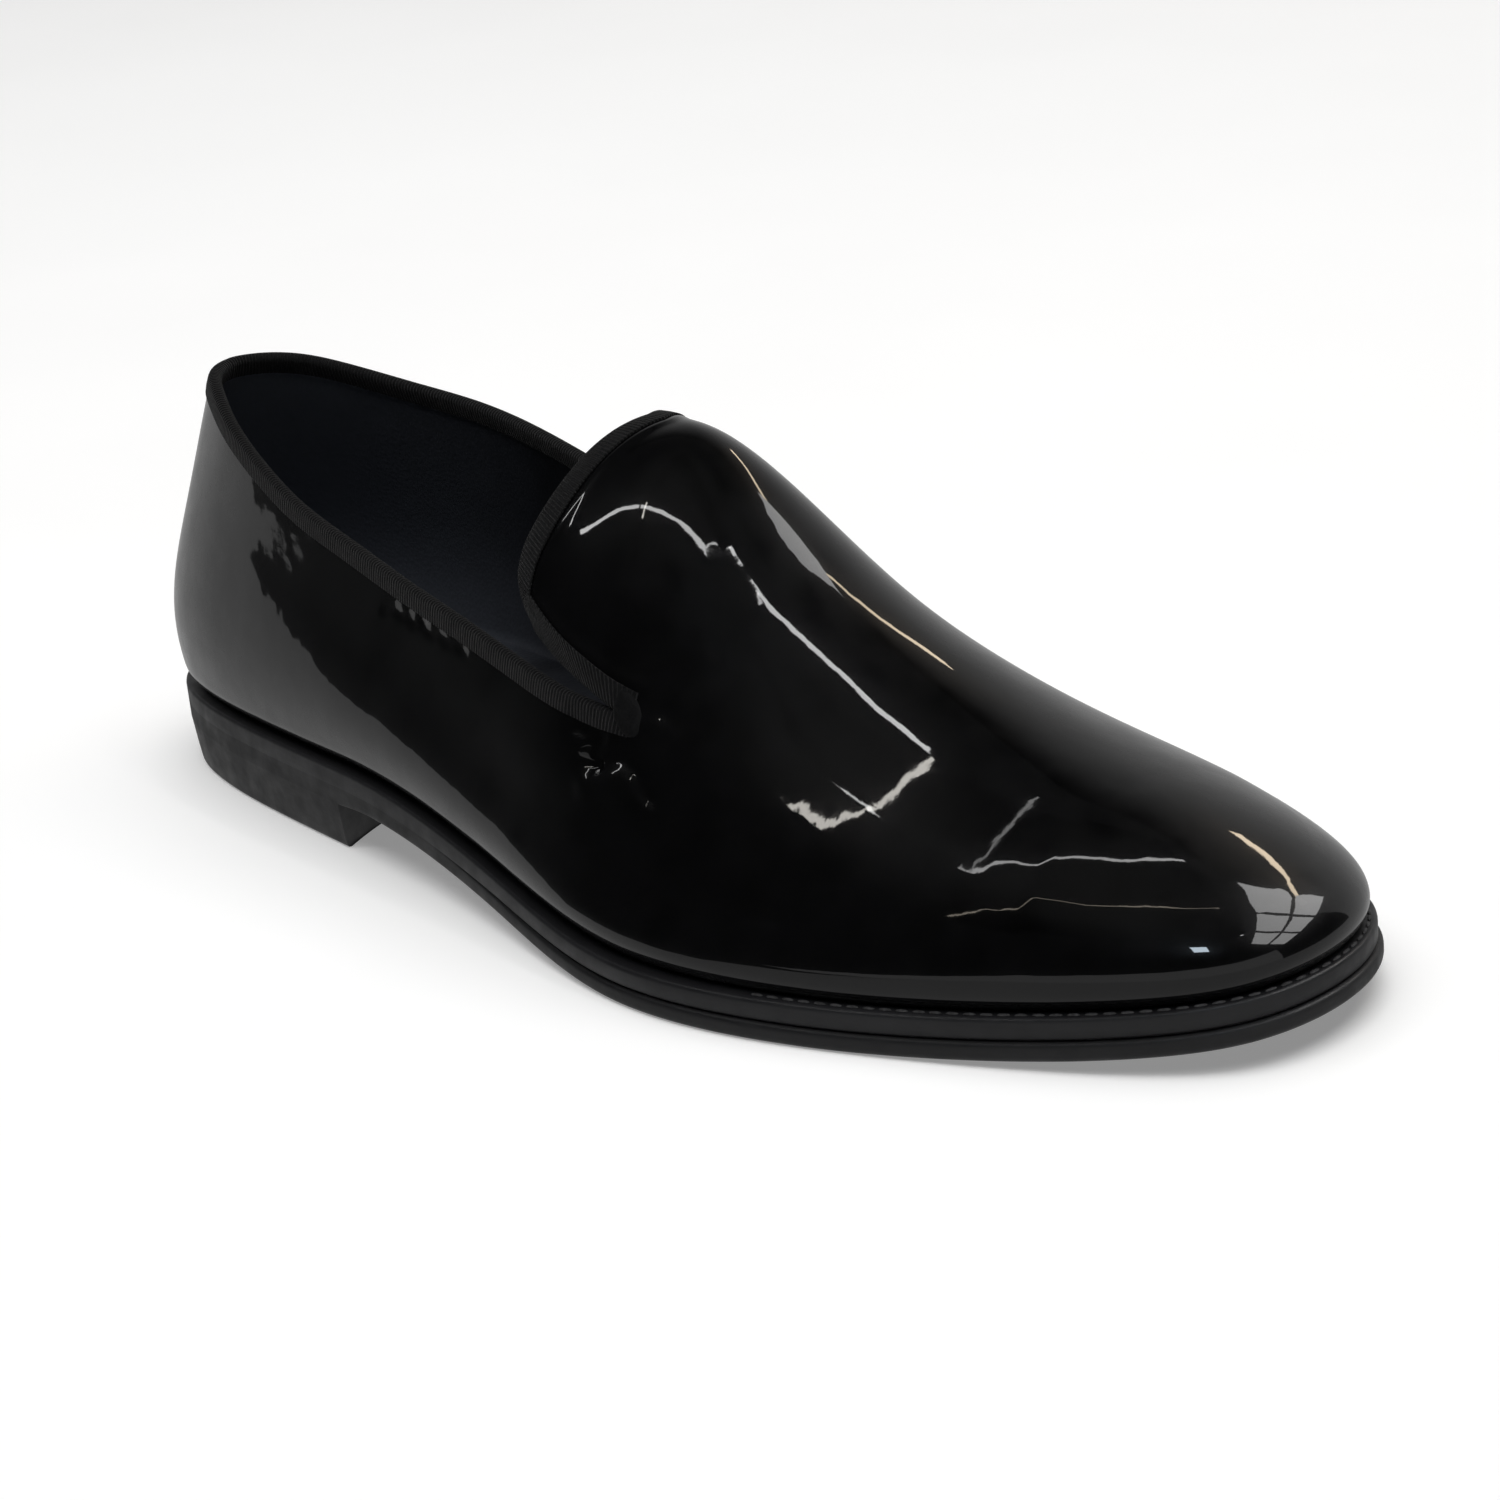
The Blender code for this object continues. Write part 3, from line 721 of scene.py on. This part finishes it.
def heel_loop(inset, height):
    """One level of the heel block: the sole's edge behind the breast, and the hollow breast."""
    plan = Plan(lambda along: np.full_like(along, inset))
    along = plan.stations(plan.low, BREAST, SOLE_STATIONS // 3)
    lateral = np.stack([along, plan.sideways(along, LATERAL)], 1)
    medial = np.stack([along, plan.sideways(along, MEDIAL)], 1)
    share = np.linspace(0, 1, BREAST_POINTS + 2)[1:-1]
    across = lateral[-1, 1] + (medial[-1, 1] - lateral[-1, 1]) * share
    breast = np.stack([BREAST - BREAST_SAG * 4 * share * (1 - share), across], 1)
    loop = np.concatenate([lateral, breast, medial[:0:-1]])
    return np.column_stack([loop, np.full(len(loop), height)])


def heel():
    """Low block heel, narrower at the floor, with a flat bottom."""
    levels = [heel_loop(inset, height) for inset, height in HEEL]
    sheet = Sheet()
    index = sheet.grid([np.append(loop, loop[:1], axis=0) for loop in levels], flip=False)
    sheet.face(*index[0, -2::-1])
    sheet.face(*index[-1, :-1])
    return sheet.points, sheet.faces


def capsule(start, end, up, half_width, half_height):
    """A rounded stitch between two points, as points and faces."""
    sideways = np.cross(up, unit(end - start))
    sheet = Sheet()
    rings = []
    for share in (0.0, 0.12, 0.4, 0.6, 0.88, 1.0):
        swell = np.sqrt(max(0.03, 1 - (2 * share - 1) ** 4))
        centre = start + (end - start) * share
        turns = np.linspace(0, 2 * np.pi, 7)
        ring = [
            centre + sideways * half_width * swell * np.cos(turn) + up * half_height * swell * np.sin(turn)
            for turn in turns
        ]
        rings.append(ring)
    index = sheet.grid(rings, flip=True)
    sheet.face(*index[0, :-1])
    sheet.face(*index[-1, -2::-1])
    return sheet.points, sheet.faces


STITCH_PITCH, STITCH_LENGTH = 3.1, 2.3
STITCH_START = 212.0
STITCH_HALF_WIDTH, STITCH_HALF_HEIGHT = 0.34, 0.32
STITCH_INSET, STITCH_LIFT = 0.55, 0.12


def welt_stitches():
    """The row of stitches round the forefoot, on the ledge of the midsole beside the upper."""
    ledge, step = column(LEDGE, 1), column(LEDGE, 2)
    plan = Plan(lambda along: (ledge(along) + step(along)) / 2 + STITCH_INSET)
    path = np.concatenate([plan.half[LATERAL], plan.half[MEDIAL][-2::-1]])
    path = path[path[:, 0] > STITCH_START]
    run = run_along(path)
    up = np.array([0.0, 0.0, 1.0])
    points, faces = [], []
    for start in np.arange(0, run[-1] - STITCH_PITCH, STITCH_PITCH):
        ends = []
        for where in (start, start + STITCH_LENGTH):
            x, y = np.interp(where, run, path[:, 0]), np.interp(where, run, path[:, 1])
            ends.append(np.array([x, y, feather_height(x) - GAP + STITCH_LIFT]))
        stitch, skin = capsule(ends[0], ends[1], up, STITCH_HALF_WIDTH, STITCH_HALF_HEIGHT)
        faces += [[c + len(points) for c in face] for face in skin]
        points += list(stitch)
    return points, faces


def shoe_origin():
    """The shoe's own zero, heel back and middle line on the floor, in the frame's metres."""
    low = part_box("outsole")[0]
    return Vector((low[0], low[1] + WIDEST_LATERAL * MILLIMETRE, 0.0))


ORIGIN = shoe_origin()


def placed(points):
    """Millimetre points of the shoe in the frame's metres."""
    return np.asarray(points) * MILLIMETRE + np.array(ORIGIN)


def add_object(name, data):
    made = bpy.data.objects.new(name, data)
    bpy.context.scene.collection.objects.link(made)
    return made


def smooth_mesh(name, points, faces, material):
    mesh = bpy.data.meshes.new(name)
    mesh.from_pydata(points, [], faces)
    mesh.shade_smooth()
    mesh.materials.append(material)
    return mesh


def add_piece(name, solid, material, nodes=(), sharp=40, runs=None):
    """A named smooth piece on the shoe, standing for CAD nodes where it replaces some."""
    points, faces = solid
    faces = [[int(c) for c in face] for face in faces]
    mesh = smooth_mesh(name, placed(points).tolist(), faces, material)
    mesh.set_sharp_from_angle(angle=np.radians(sharp))
    if runs is not None:
        layer = mesh.uv_layers.new(name="run")
        corners = np.zeros(len(mesh.loops), np.int32)
        mesh.loops.foreach_get("vertex_index", corners)
        layer.data.foreach_set("uv", (runs[corners] * (MILLIMETRE, 1.0)).astype(np.float32).ravel())
    piece = add_object(name, mesh)
    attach(piece, "root")
    if nodes:
        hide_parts(*nodes)


class Shader:
    """A material's node tree with a principled shader, built from plain calls."""

    def __init__(self, name, **inputs):
        self.material = bpy.data.materials.new(name)
        self.material.use_nodes = True
        self.tree = self.material.node_tree
        self.principled = self.tree.nodes["Principled BSDF"]
        for key, value in inputs.items():
            self.principled.inputs[key.replace("_", " ")].default_value = value

    def node(self, kind, **settings):
        made = self.tree.nodes.new(kind)
        for key, value in settings.items():
            if key in made.inputs:
                made.inputs[key].default_value = value
            else:
                setattr(made, key, value)
        return made

    def link(self, source, target):
        self.tree.links.new(source, target)

    def place(self, output="Object"):
        return self.node("ShaderNodeTexCoord").outputs[output]

    def noise(self, scale, detail=2.0, roughness=0.5, stretch=None):
        """Noise whose features are about one over the scale, in metres."""
        made = self.node("ShaderNodeTexNoise", Scale=scale, Detail=detail, Roughness=roughness)
        where = self.place()
        if stretch:
            mapping = self.node("ShaderNodeMapping", Scale=stretch)
            self.link(where, mapping.inputs["Vector"])
            where = mapping.outputs["Vector"]
        self.link(where, made.inputs["Vector"])
        return made.outputs["Fac"]

    def forward(self, start, end):
        """A value that falls from 1 to 0 between two places along the shoe, in metres."""
        split = self.node("ShaderNodeSeparateXYZ")
        self.link(self.place(), split.inputs["Vector"])
        return self.range(split.outputs["X"], 1.0, 0.0, start, end)

    def total(self, first, second, share):
        """The first value plus a share of the second."""
        made = self.node("ShaderNodeMath", operation="MULTIPLY_ADD")
        self.link(second, made.inputs[0])
        made.inputs[1].default_value = share
        self.link(first, made.inputs[2])
        return made.outputs["Value"]

    def cells(self, scale):
        made = self.node("ShaderNodeTexVoronoi", Scale=scale, feature="F1")
        self.link(self.place(), made.inputs["Vector"])
        return made.outputs["Distance"]

    def range(self, value, low, high, start=0.3, end=0.7):
        limits = {"From Min": start, "From Max": end, "To Min": low, "To Max": high}
        made = self.node("ShaderNodeMapRange", **limits)
        self.link(value, made.inputs["Value"])
        return made.outputs["Result"]

    def tint(self, value, dark, light, start=0.3, end=0.7):
        """A colour between two, by a value."""
        made = self.node("ShaderNodeValToRGB")
        made.color_ramp.elements[0].position, made.color_ramp.elements[0].color = start, (*dark, 1)
        made.color_ramp.elements[1].position, made.color_ramp.elements[1].color = end, (*light, 1)
        self.link(value, made.inputs["Fac"])
        return made.outputs["Color"]

    def bumps(self, *layers):
        """Stacks bump layers, each a height and its depth in metres, and returns the normal."""
        normal = None
        for height, depth in layers:
            made = self.node("ShaderNodeBump", Distance=depth, Strength=1.0)
            self.link(height, made.inputs["Height"])
            if normal:
                self.link(normal, made.inputs["Normal"])
            normal = made.outputs["Normal"]
        return normal

    def set(self, key, output):
        self.link(output, self.principled.inputs[key])


def patent_leather():
    """Black lacquered leather: a mirror-like coat with slow waves and a faint orange peel."""
    coat = {"Coat_Weight": 1.0, "Coat_Roughness": 0.03, "Coat_IOR": 1.5}
    shader = Shader("patent_leather", Roughness=0.3, Specular_IOR_Level=0.08, **coat)
    clouds = shader.noise(90, 4)
    shader.set("Base Color", shader.tint(clouds, (0.0007, 0.0007, 0.0008), (0.002, 0.002, 0.0023)))
    shader.set("Roughness", shader.range(shader.noise(140, 3), 0.22, 0.4))
    waves = (shader.noise(48, 1), 0.0002), (shader.noise(190, 1), 0.00003), (shader.noise(900, 2), 0.000002)
    normal = shader.bumps(*waves)
    shader.set("Normal", normal)
    shader.set("Coat Normal", normal)
    return shader.material


def lining_leather():
    """Matt slate-grey lining with a fine pebble grain, and painted shade that darkens it from the heel seat
    towards the toe.
    """
    shader = Shader("lining_leather", Roughness=0.5, Specular_IOR_Level=0.4)
    # Painted shade: pale grey behind the heel seat, near black ahead of it, set by place along the shoe
    # with random tone mixed in; the footbed uses the same colour
    depth = shader.total(shader.forward(-0.13, -0.06), shader.noise(60, 5, 0.6), 0.3)
    shader.set("Base Color", shader.tint(depth, (0.006, 0.0065, 0.008), (0.075, 0.083, 0.102), 0.1, 1.2))
    shader.set("Roughness", shader.range(shader.noise(300, 3), 0.42, 0.62))
    shader.set("Normal", shader.bumps((shader.cells(1100), 0.00006), (shader.noise(70, 2), 0.0002)))
    return shader.material


def ribbon_weave():
    """Matt black ribbon with cross ribs and a speckle of lighter threads."""
    sheen = {"Sheen_Weight": 0.08, "Sheen_Roughness": 0.4}
    shader = Shader("ribbon", Roughness=0.75, Specular_IOR_Level=0.2, **sheen)
    ribs = shader.node("ShaderNodeTexWave", Scale=390.0, Distortion=0.6, bands_direction="X")
    ribs.inputs["Detail Scale"].default_value = 3.0
    shader.link(shader.place("UV"), ribs.inputs["Vector"])
    speckle = shader.noise(2600, 2, 0.6)
    colour = shader.tint(speckle, (0.0007, 0.0007, 0.0009), (0.0075, 0.0075, 0.0083), 0.4, 0.8)
    shader.set("Base Color", colour)
    shader.set("Roughness", shader.range(speckle, 0.65, 0.85))
    shader.set("Normal", shader.bumps((ribs.outputs["Fac"], 0.00022), (speckle, 0.00008)))
    return shader.material


def sole_rubber(name, dark, light, roughness):
    """Satin black sole: fine rubbed streaks along the edge, a little paler where it is worn."""
    shader = Shader(name, Roughness=roughness, Specular_IOR_Level=0.45)
    rubbed = shader.noise(60, 5, 0.6, stretch=(0.35, 0.35, 3.0))
    shader.set("Base Color", shader.tint(rubbed, dark, light))
    shader.set("Roughness", shader.range(shader.noise(220, 4), roughness - 0.08, roughness + 0.1))
    streaks = shader.noise(420, 3, 0.6, stretch=(0.3, 0.3, 2.5))
    shader.set("Normal", shader.bumps((streaks, 0.00003), (shader.noise(1800, 2), 0.000015)))
    return shader.material


def welt_thread():
    """Waxed dark grey thread."""
    shader = Shader("thread", Roughness=0.55)
    twist = shader.noise(1500, 2)
    shader.set("Base Color", shader.tint(twist, (0.02, 0.02, 0.021), (0.06, 0.06, 0.062)))
    shader.set("Normal", shader.bumps((twist, 0.00006)))
    return shader.material


def floor_white():
    """Plain pale floor, nearly even, with a trace of mottle."""
    light = {"Emission_Strength": FLOOR_GLOW, "Emission_Color": (1, 1, 1, 1)}
    shader = Shader("floor", Roughness=0.9, Specular_IOR_Level=0.1, **light)
    shader.set("Base Color", shader.tint(shader.noise(8, 3), (0.8, 0.8, 0.8), (0.82, 0.82, 0.82)))
    return shader.material


def glow(name, strength, fade=None, colour=(1, 1, 1)):
    """A plain emitter for the studio's own panels, fading with height between two levels."""
    made = bpy.data.materials.new(name)
    made.use_nodes = True
    nodes, links = made.node_tree.nodes, made.node_tree.links
    nodes.clear()
    emission = nodes.new("ShaderNodeEmission")
    emission.inputs["Strength"].default_value = strength
    emission.inputs["Color"].default_value = (*colour, 1)
    if fade:
        place = nodes.new("ShaderNodeTexCoord")
        split = nodes.new("ShaderNodeSeparateXYZ")
        height = nodes.new("ShaderNodeMapRange")
        for key, value in zip(("From Min", "From Max", "To Min", "To Max"), (*fade, strength, 0.0)):
            height.inputs[key].default_value = value
        height.interpolation_type = "SMOOTHSTEP"
        links.new(place.outputs["Object"], split.inputs["Vector"])
        links.new(split.outputs["Z"], height.inputs["Value"])
        links.new(height.outputs["Result"], emission.inputs["Strength"])
    links.new(emission.outputs["Emission"], nodes.new("ShaderNodeOutputMaterial").inputs["Surface"])
    return made


def stage_mesh(name, points, faces, material):
    made = add_object(name, smooth_mesh(name, points, faces, material))
    return made


STUDIO = 6.0
FLOOR_GLOW = 0.25
RAYS = ("camera", "diffuse", "glossy", "transmission", "volume_scatter", "shadow")


def seen_only_by(made, *kept):
    """Hides a studio panel from every kind of ray but those kept."""
    for kind in RAYS:
        setattr(made, "visible_" + kind, kind in kept)


def mirrored_card(name, outline, height, material):
    """A level card, given by its outline, that only the leather mirrors."""
    corners = [(x, y, height) for x, y in outline]
    seen_only_by(stage_mesh(name, corners, [tuple(range(len(corners)))], material), "glossy")


def arc(radius, azimuths, heights):
    turns = np.radians(azimuths)
    return np.stack([radius * np.cos(turns), radius * np.sin(turns), heights], 1)


def curtain(name, radius, azimuths, tops, material):
    """A curved panel that stands on the floor, its top edge given at some of its azimuths."""
    turns = np.linspace(azimuths[0], azimuths[-1], 73)
    top = np.interp(turns, azimuths, tops)
    rings = [arc(radius, turns, top * share) for share in np.linspace(0, 1, 9)]
    size = len(turns)
    faces = []
    for level in range(len(rings) - 1):
        for corner in range(level * size, level * size + size - 1):
            faces.append((corner, corner + 1, corner + size + 1, corner + size))
    return stage_mesh(name, np.concatenate(rings).tolist(), faces, material)


def make_floor():
    """The pale floor that the camera sees."""
    ring = arc(STUDIO, np.arange(0, 360, 5), np.zeros(72))
    floor = stage_mesh("floor", ring.tolist(), [tuple(range(72))], floor_white())
    floor.visible_glossy = False


# Corners of the part of the floor that the leather mirrors, and its light
TABLE_EDGE = [(-1.33, -0.63), (-0.54, -0.276), (-0.28, -0.152), (-0.138, -0.1), (-0.02, -0.066)]
TABLE = [(-2.6, -0.66), *TABLE_EDGE, (0.03, -0.1), (0.1, -2.4), (1.3, -2.4), (1.3, 2.6), (-2.6, 2.6)]
TABLE_GLOW = 0.4


def make_table():
    """The floor as the leather mirrors it: it ends near the shoe, and beyond it the room is dark."""
    mirrored_card("table", TABLE, 0.0, glow("table", TABLE_GLOW))


# Curved panels of the studio: azimuths (0 is to the toe, 90 medial) and the heights of their tops
SWEEP_AZIMUTHS, SWEEP_TOPS = (62.0, 178.0), (3.4, 3.4)
FRONT_AZIMUTHS, FRONT_TOPS = (-100.0, -88.0, -76.0, -50.0, 8.0), (0.01, 0.34, 0.66, 1.0, 1.3)
PANEL_RADIUS = 2.5
SWEEP_GLOW, FRONT_GLOW, BACKDROP_GLOW = 0.4, 0.5, 0.95
SWEEP_FADE = 0.2, 3.4
BACKDROP_RADIUS, BACKDROP_HEIGHT = STUDIO * 0.98, 6.0


def make_panels():
    """A pale wall for the camera's horizon, and two dim panels that only the leather mirrors."""
    tops = BACKDROP_HEIGHT, BACKDROP_HEIGHT
    wall = curtain("backdrop", BACKDROP_RADIUS, (0.0, 360.0), tops, glow("backdrop", BACKDROP_GLOW))
    seen_only_by(wall, "camera")
    fading = glow("sweep", SWEEP_GLOW, SWEEP_FADE)
    sweep = curtain("sweep", PANEL_RADIUS, SWEEP_AZIMUTHS, SWEEP_TOPS, fading)
    seen_only_by(sweep, "glossy")
    front = curtain("front", PANEL_RADIUS, FRONT_AZIMUTHS, FRONT_TOPS, glow("front", FRONT_GLOW))
    seen_only_by(front, "glossy")


def standing(place, right, up, back):
    """The matrix of a light or camera at a place, from its own three axes."""
    return Matrix.Translation(place) @ Matrix((right, up, back)).transposed().to_4x4()


def area_light(name, place, aim, size, power, colour=(1, 1, 1), along=None, glossy=True):
    """A rectangular light at a place that faces its aim, its long side along a direction."""
    data = bpy.data.lights.new(name, "AREA")
    data.shape = "RECTANGLE"
    data.size, data.size_y = size
    data.energy = power
    data.color = colour
    made = add_object(name, data)
    back = (Vector(place) - Vector(aim)).normalized()
    right = Vector(along or (1, 0, 0))
    right = (right - back * right.dot(back)).normalized()
    made.matrix_world = standing(place, right, back.cross(right), back)
    made.visible_glossy = glossy
    made.visible_camera = False


# Thin ceiling tubes that draw the fine lines in the leather: ends as (x, y) per metre of height
WHITE = (1.0, 1.0, 1.0)
TUBES = [
    # start, end, width, radiance, colour
    ((0.52, 0.115), (-0.04, 0.215), 0.05, 11.0, WHITE),
    ((-0.05, 0.215), (-0.02, -0.60), 0.025, 11.0, (1.0, 0.97, 0.9)),
    ((0.48, 0.88), (-0.17, 1.35), 0.05, 9.0, (1.0, 0.82, 0.6)),
    ((-0.85, -0.65), (-0.09, -0.34), 0.05, 10.0, WHITE),
    ((-0.09, -0.34), (0.46, -0.1), 0.045, 10.0, WHITE),
    ((0.465, -0.09), (0.53, 0.11), 0.012, 10.0, WHITE),
]
CEILING = 1.6
SHOE_CENTRE = Vector((0.03, 0.0, 0.045))


def make_tubes():
    for number, (start, end, width, radiance, colour) in enumerate(TUBES):
        ends = [SHOE_CENTRE + Vector((x, y, 1.0)) * CEILING for x, y in (start, end)]
        middle = (ends[0] + ends[1]) / 2
        run = ends[1] - ends[0]
        power = radiance * np.pi * run.length * width
        area_light(f"tube_{number}", middle, SHOE_CENTRE, (run.length, width), power, colour, run)


def direction(azimuth, elevation):
    """A direction from the shoe: azimuth 0 is to the toe, 90 to the medial side."""
    turn, rise = np.radians(azimuth), np.radians(elevation)
    return Vector((np.cos(rise) * np.cos(turn), np.cos(rise) * np.sin(turn), np.sin(rise)))


# Dark cards over the shoe that keep a tube from showing twice: ends, half width and height
FLAGS = [
    # start, end, half width, height
    ((0.0095, -0.098), (0.0095, 0.08), 0.0125, 0.39),
    ((0.012, -0.23), (0.012, -0.135), 0.012, 0.39),
    ((0.012, -0.158), (0.0495, -0.1335), 0.009, 0.39),
    ((0.0565, -0.122), (0.195, -0.045), 0.008, 0.39),
    ((0.194, -0.042), (0.206, 0.008), 0.004, 0.39),
    ((0.015, 0.0215), (0.061, 0.012), 0.004, 0.2),
    ((0.068, 0.0105), (0.092, 0.0055), 0.0025, 0.2),
    ((0.012, 0.001), (0.054, -0.0065), 0.0045, 0.12),
]


def make_band(name, path, half_width, height, material):
    """A level strip along a path, which only the leather mirrors."""
    run = unit(np.gradient(path, axis=0))
    aside = np.stack([-run[:, 1], run[:, 0]], 1) * half_width
    points = [(x, y, height) for x, y in np.concatenate([path - aside, path + aside])]
    size = len(path)
    faces = [(k, k + 1, k + size + 1, k + size) for k in range(size - 1)]
    seen_only_by(stage_mesh(name, points, faces, material), "glossy")


def make_flags():
    dark = glow("flag", 0.0)
    for number, (start, end, half_width, height) in enumerate(FLAGS):
        make_band(f"flag_{number}", [start, end], half_width, height, dark)


# Low card over the toe, and the thin bright strips under it that draw the toe's fine lines
TOE_CARD_BACK = [(0.1, -0.125), (0.0765, -0.125), (0.0765, 0.02), (0.105, 0.055)]
TOE_CARD = [*TOE_CARD_BACK, (0.155, 0.035), (0.184, 0.006), (0.184, -0.04)]
TOE_V_SHORT = [(0.0735, 0.029), (0.0755, -0.016), (0.0745, -0.06)]
TOE_V_LONG = [(0.0745, -0.06), (0.08, -0.039), (0.099, -0.014), (0.108, 0.011), (0.117, 0.051)]
TOE_LOW = [(0.0745, -0.118), (0.086, -0.092), (0.115, -0.054), (0.128, -0.021), (0.147, 0.02)]
TOE_STRIPS = [
    # half width, radiance, colour, path
    (0.0003, 3.0, WHITE, TOE_V_SHORT),
    (0.0008, 6.0, WHITE, TOE_V_LONG),
    (0.0004, 4.0, (1.0, 0.9, 0.75), TOE_LOW),
]
TOE_CARD_HEIGHT, TOE_STRIP_HEIGHT = 0.1205, 0.12


def make_toe_lines():
    mirrored_card("toe_card", TOE_CARD, TOE_CARD_HEIGHT, glow("toe_card", 0.0))
    for number, (half_width, radiance, colour, path) in enumerate(TOE_STRIPS):
        name = f"toe_strip_{number}"
        make_band(name, path, half_width, TOE_STRIP_HEIGHT, glow(name, radiance, colour=colour))


# Lit windows that the toe mirrors: the place they face, azimuth, elevation, width, height and panes
WINDOW = (Vector((0.133, -0.005, 0.028)), 48.0, 48.0, 0.36, 0.17, 3, 2)
LAMP = (Vector((0.118, -0.03, 0.025)), -40.0, 55.7, 0.05, 0.05, 1, 1)
WINDOW_DISTANCE = 0.35
PANE_SHARE = 0.88


def make_window(name, shape, material):
    """Panes in a plane that faces the toe, with bars between them."""
    place, azimuth, elevation, width, height, across, up = shape
    back = direction(azimuth, elevation)
    right = Vector((0, 0, 1)).cross(back).normalized()
    rise = back.cross(right)
    points, faces = [], []
    for column_number, row_number in np.ndindex(across, up):
        for sign_x, sign_y in ((-1, -1), (1, -1), (1, 1), (-1, 1)):
            x = width * ((column_number + 0.5 + sign_x * PANE_SHARE / 2) / across - 0.5)
            y = height * ((row_number + 0.5 + sign_y * PANE_SHARE / 2) / up - 0.5)
            points.append(place + back * WINDOW_DISTANCE + right * x + rise * y)
        faces.append(tuple(range(len(points) - 4, len(points))))
    seen_only_by(stage_mesh(name, points, faces, material), "glossy")


# Overhead soft light in metres and watts, and the radiance of window and lamp
OVERHEAD_HEIGHT, OVERHEAD_SIZE, OVERHEAD_POWER = 2.6, (3.2, 3.2), 76.0
WINDOW_GLOW, LAMP_GLOW, LAMP_COLOUR = 4.0, 14.0, (0.75, 0.88, 1.0)


def make_lights():
    overhead = SHOE_CENTRE + Vector((0.0, 0.0, OVERHEAD_HEIGHT))
    area_light("overhead", overhead, SHOE_CENTRE, OVERHEAD_SIZE, OVERHEAD_POWER, glossy=False)
    make_window("window", WINDOW, glow("window", WINDOW_GLOW))
    make_window("lamp", LAMP, glow("lamp", LAMP_GLOW, colour=LAMP_COLOUR))
    make_tubes()
    make_flags()
    make_toe_lines()


def make_world():
    world = bpy.data.worlds.new("studio")
    bpy.context.scene.world = world
    world.use_nodes = True
    background = world.node_tree.nodes["Background"]
    background.inputs["Color"].default_value = (0.95, 0.98, 1.0, 1)
    background.inputs["Strength"].default_value = 0.02


# Camera, as worked out from the photo's sole edge
VIEW_AZIMUTH, VIEW_ELEVATION, VIEW_ROLL = np.radians((45.7, 20.8, 6.08))
VIEW_TARGET = (150.0, 0.0, 35.0)
VIEW_DISTANCE = 687.0
VIEW_LENS = 83.76
VIEW_SHIFT = 0.04, -0.0367


def make_camera():
    data = bpy.data.cameras.new("camera")
    data.lens, data.sensor_width = VIEW_LENS, 36.0
    data.shift_x, data.shift_y = VIEW_SHIFT
    data.clip_start, data.clip_end = 0.05, 60.0
    camera = add_object("camera", data)
    level = np.cos(VIEW_ELEVATION)
    back = Vector((np.sin(VIEW_AZIMUTH) * level, -np.cos(VIEW_AZIMUTH) * level, np.sin(VIEW_ELEVATION)))
    right = Vector((np.cos(VIEW_AZIMUTH), np.sin(VIEW_AZIMUTH), 0.0))
    up = back.cross(right)
    cosine, sine = np.cos(VIEW_ROLL), np.sin(VIEW_ROLL)
    right, up = right * cosine - up * sine, right * sine + up * cosine
    place = Vector(placed(VIEW_TARGET)) + back * VIEW_DISTANCE * MILLIMETRE
    camera.matrix_world = standing(place, right, up, back)
    bpy.context.scene.camera = camera


def make_shoe():
    patent, lining, weave = patent_leather(), lining_leather(), ribbon_weave()
    edge = sole_rubber("sole_edge", (0.009, 0.009, 0.0102), (0.016, 0.016, 0.0178), 0.42)
    rubber = sole_rubber("sole", (0.006, 0.006, 0.0067), (0.011, 0.011, 0.0122), 0.48)
    sheet, collar, tongue = upper_sheet()
    crease(sheet, tongue)
    add_piece("upper_skin", sheet.between(0.0, SKIN), patent, ["upper"], 60)
    add_piece("upper_lining", sheet.between(SKIN + 0.02, WALL), lining, sharp=60)
    for name, rim in (("collar", collar), ("tongue", tongue)):
        points, faces, runs = ribbon(sheet, rim)
        add_piece(name + "_ribbon", (points, faces), weave, [name + "_binding"], 50, runs)
    for side, name in ((LATERAL, "notch_tab_outer"), (MEDIAL, "notch_tab_inner")):
        add_piece(name, notch_tab(side), weave)
    add_piece("footbed", footbed(), lining, ["insole"])
    add_piece("midsole_edge", midsole(), edge, ["midsole"], 50)
    add_piece("outsole_layer", outsole(), rubber, ["outsole"], 50)
    add_piece("heel_block", heel(), rubber, ["heel"], 50)
    add_piece("welt_stitches", welt_stitches(), welt_thread())


make_shoe()
make_floor()
make_table()
make_panels()
make_lights()
make_world()
make_camera()
bpy.context.scene.view_settings.view_transform = "Standard"
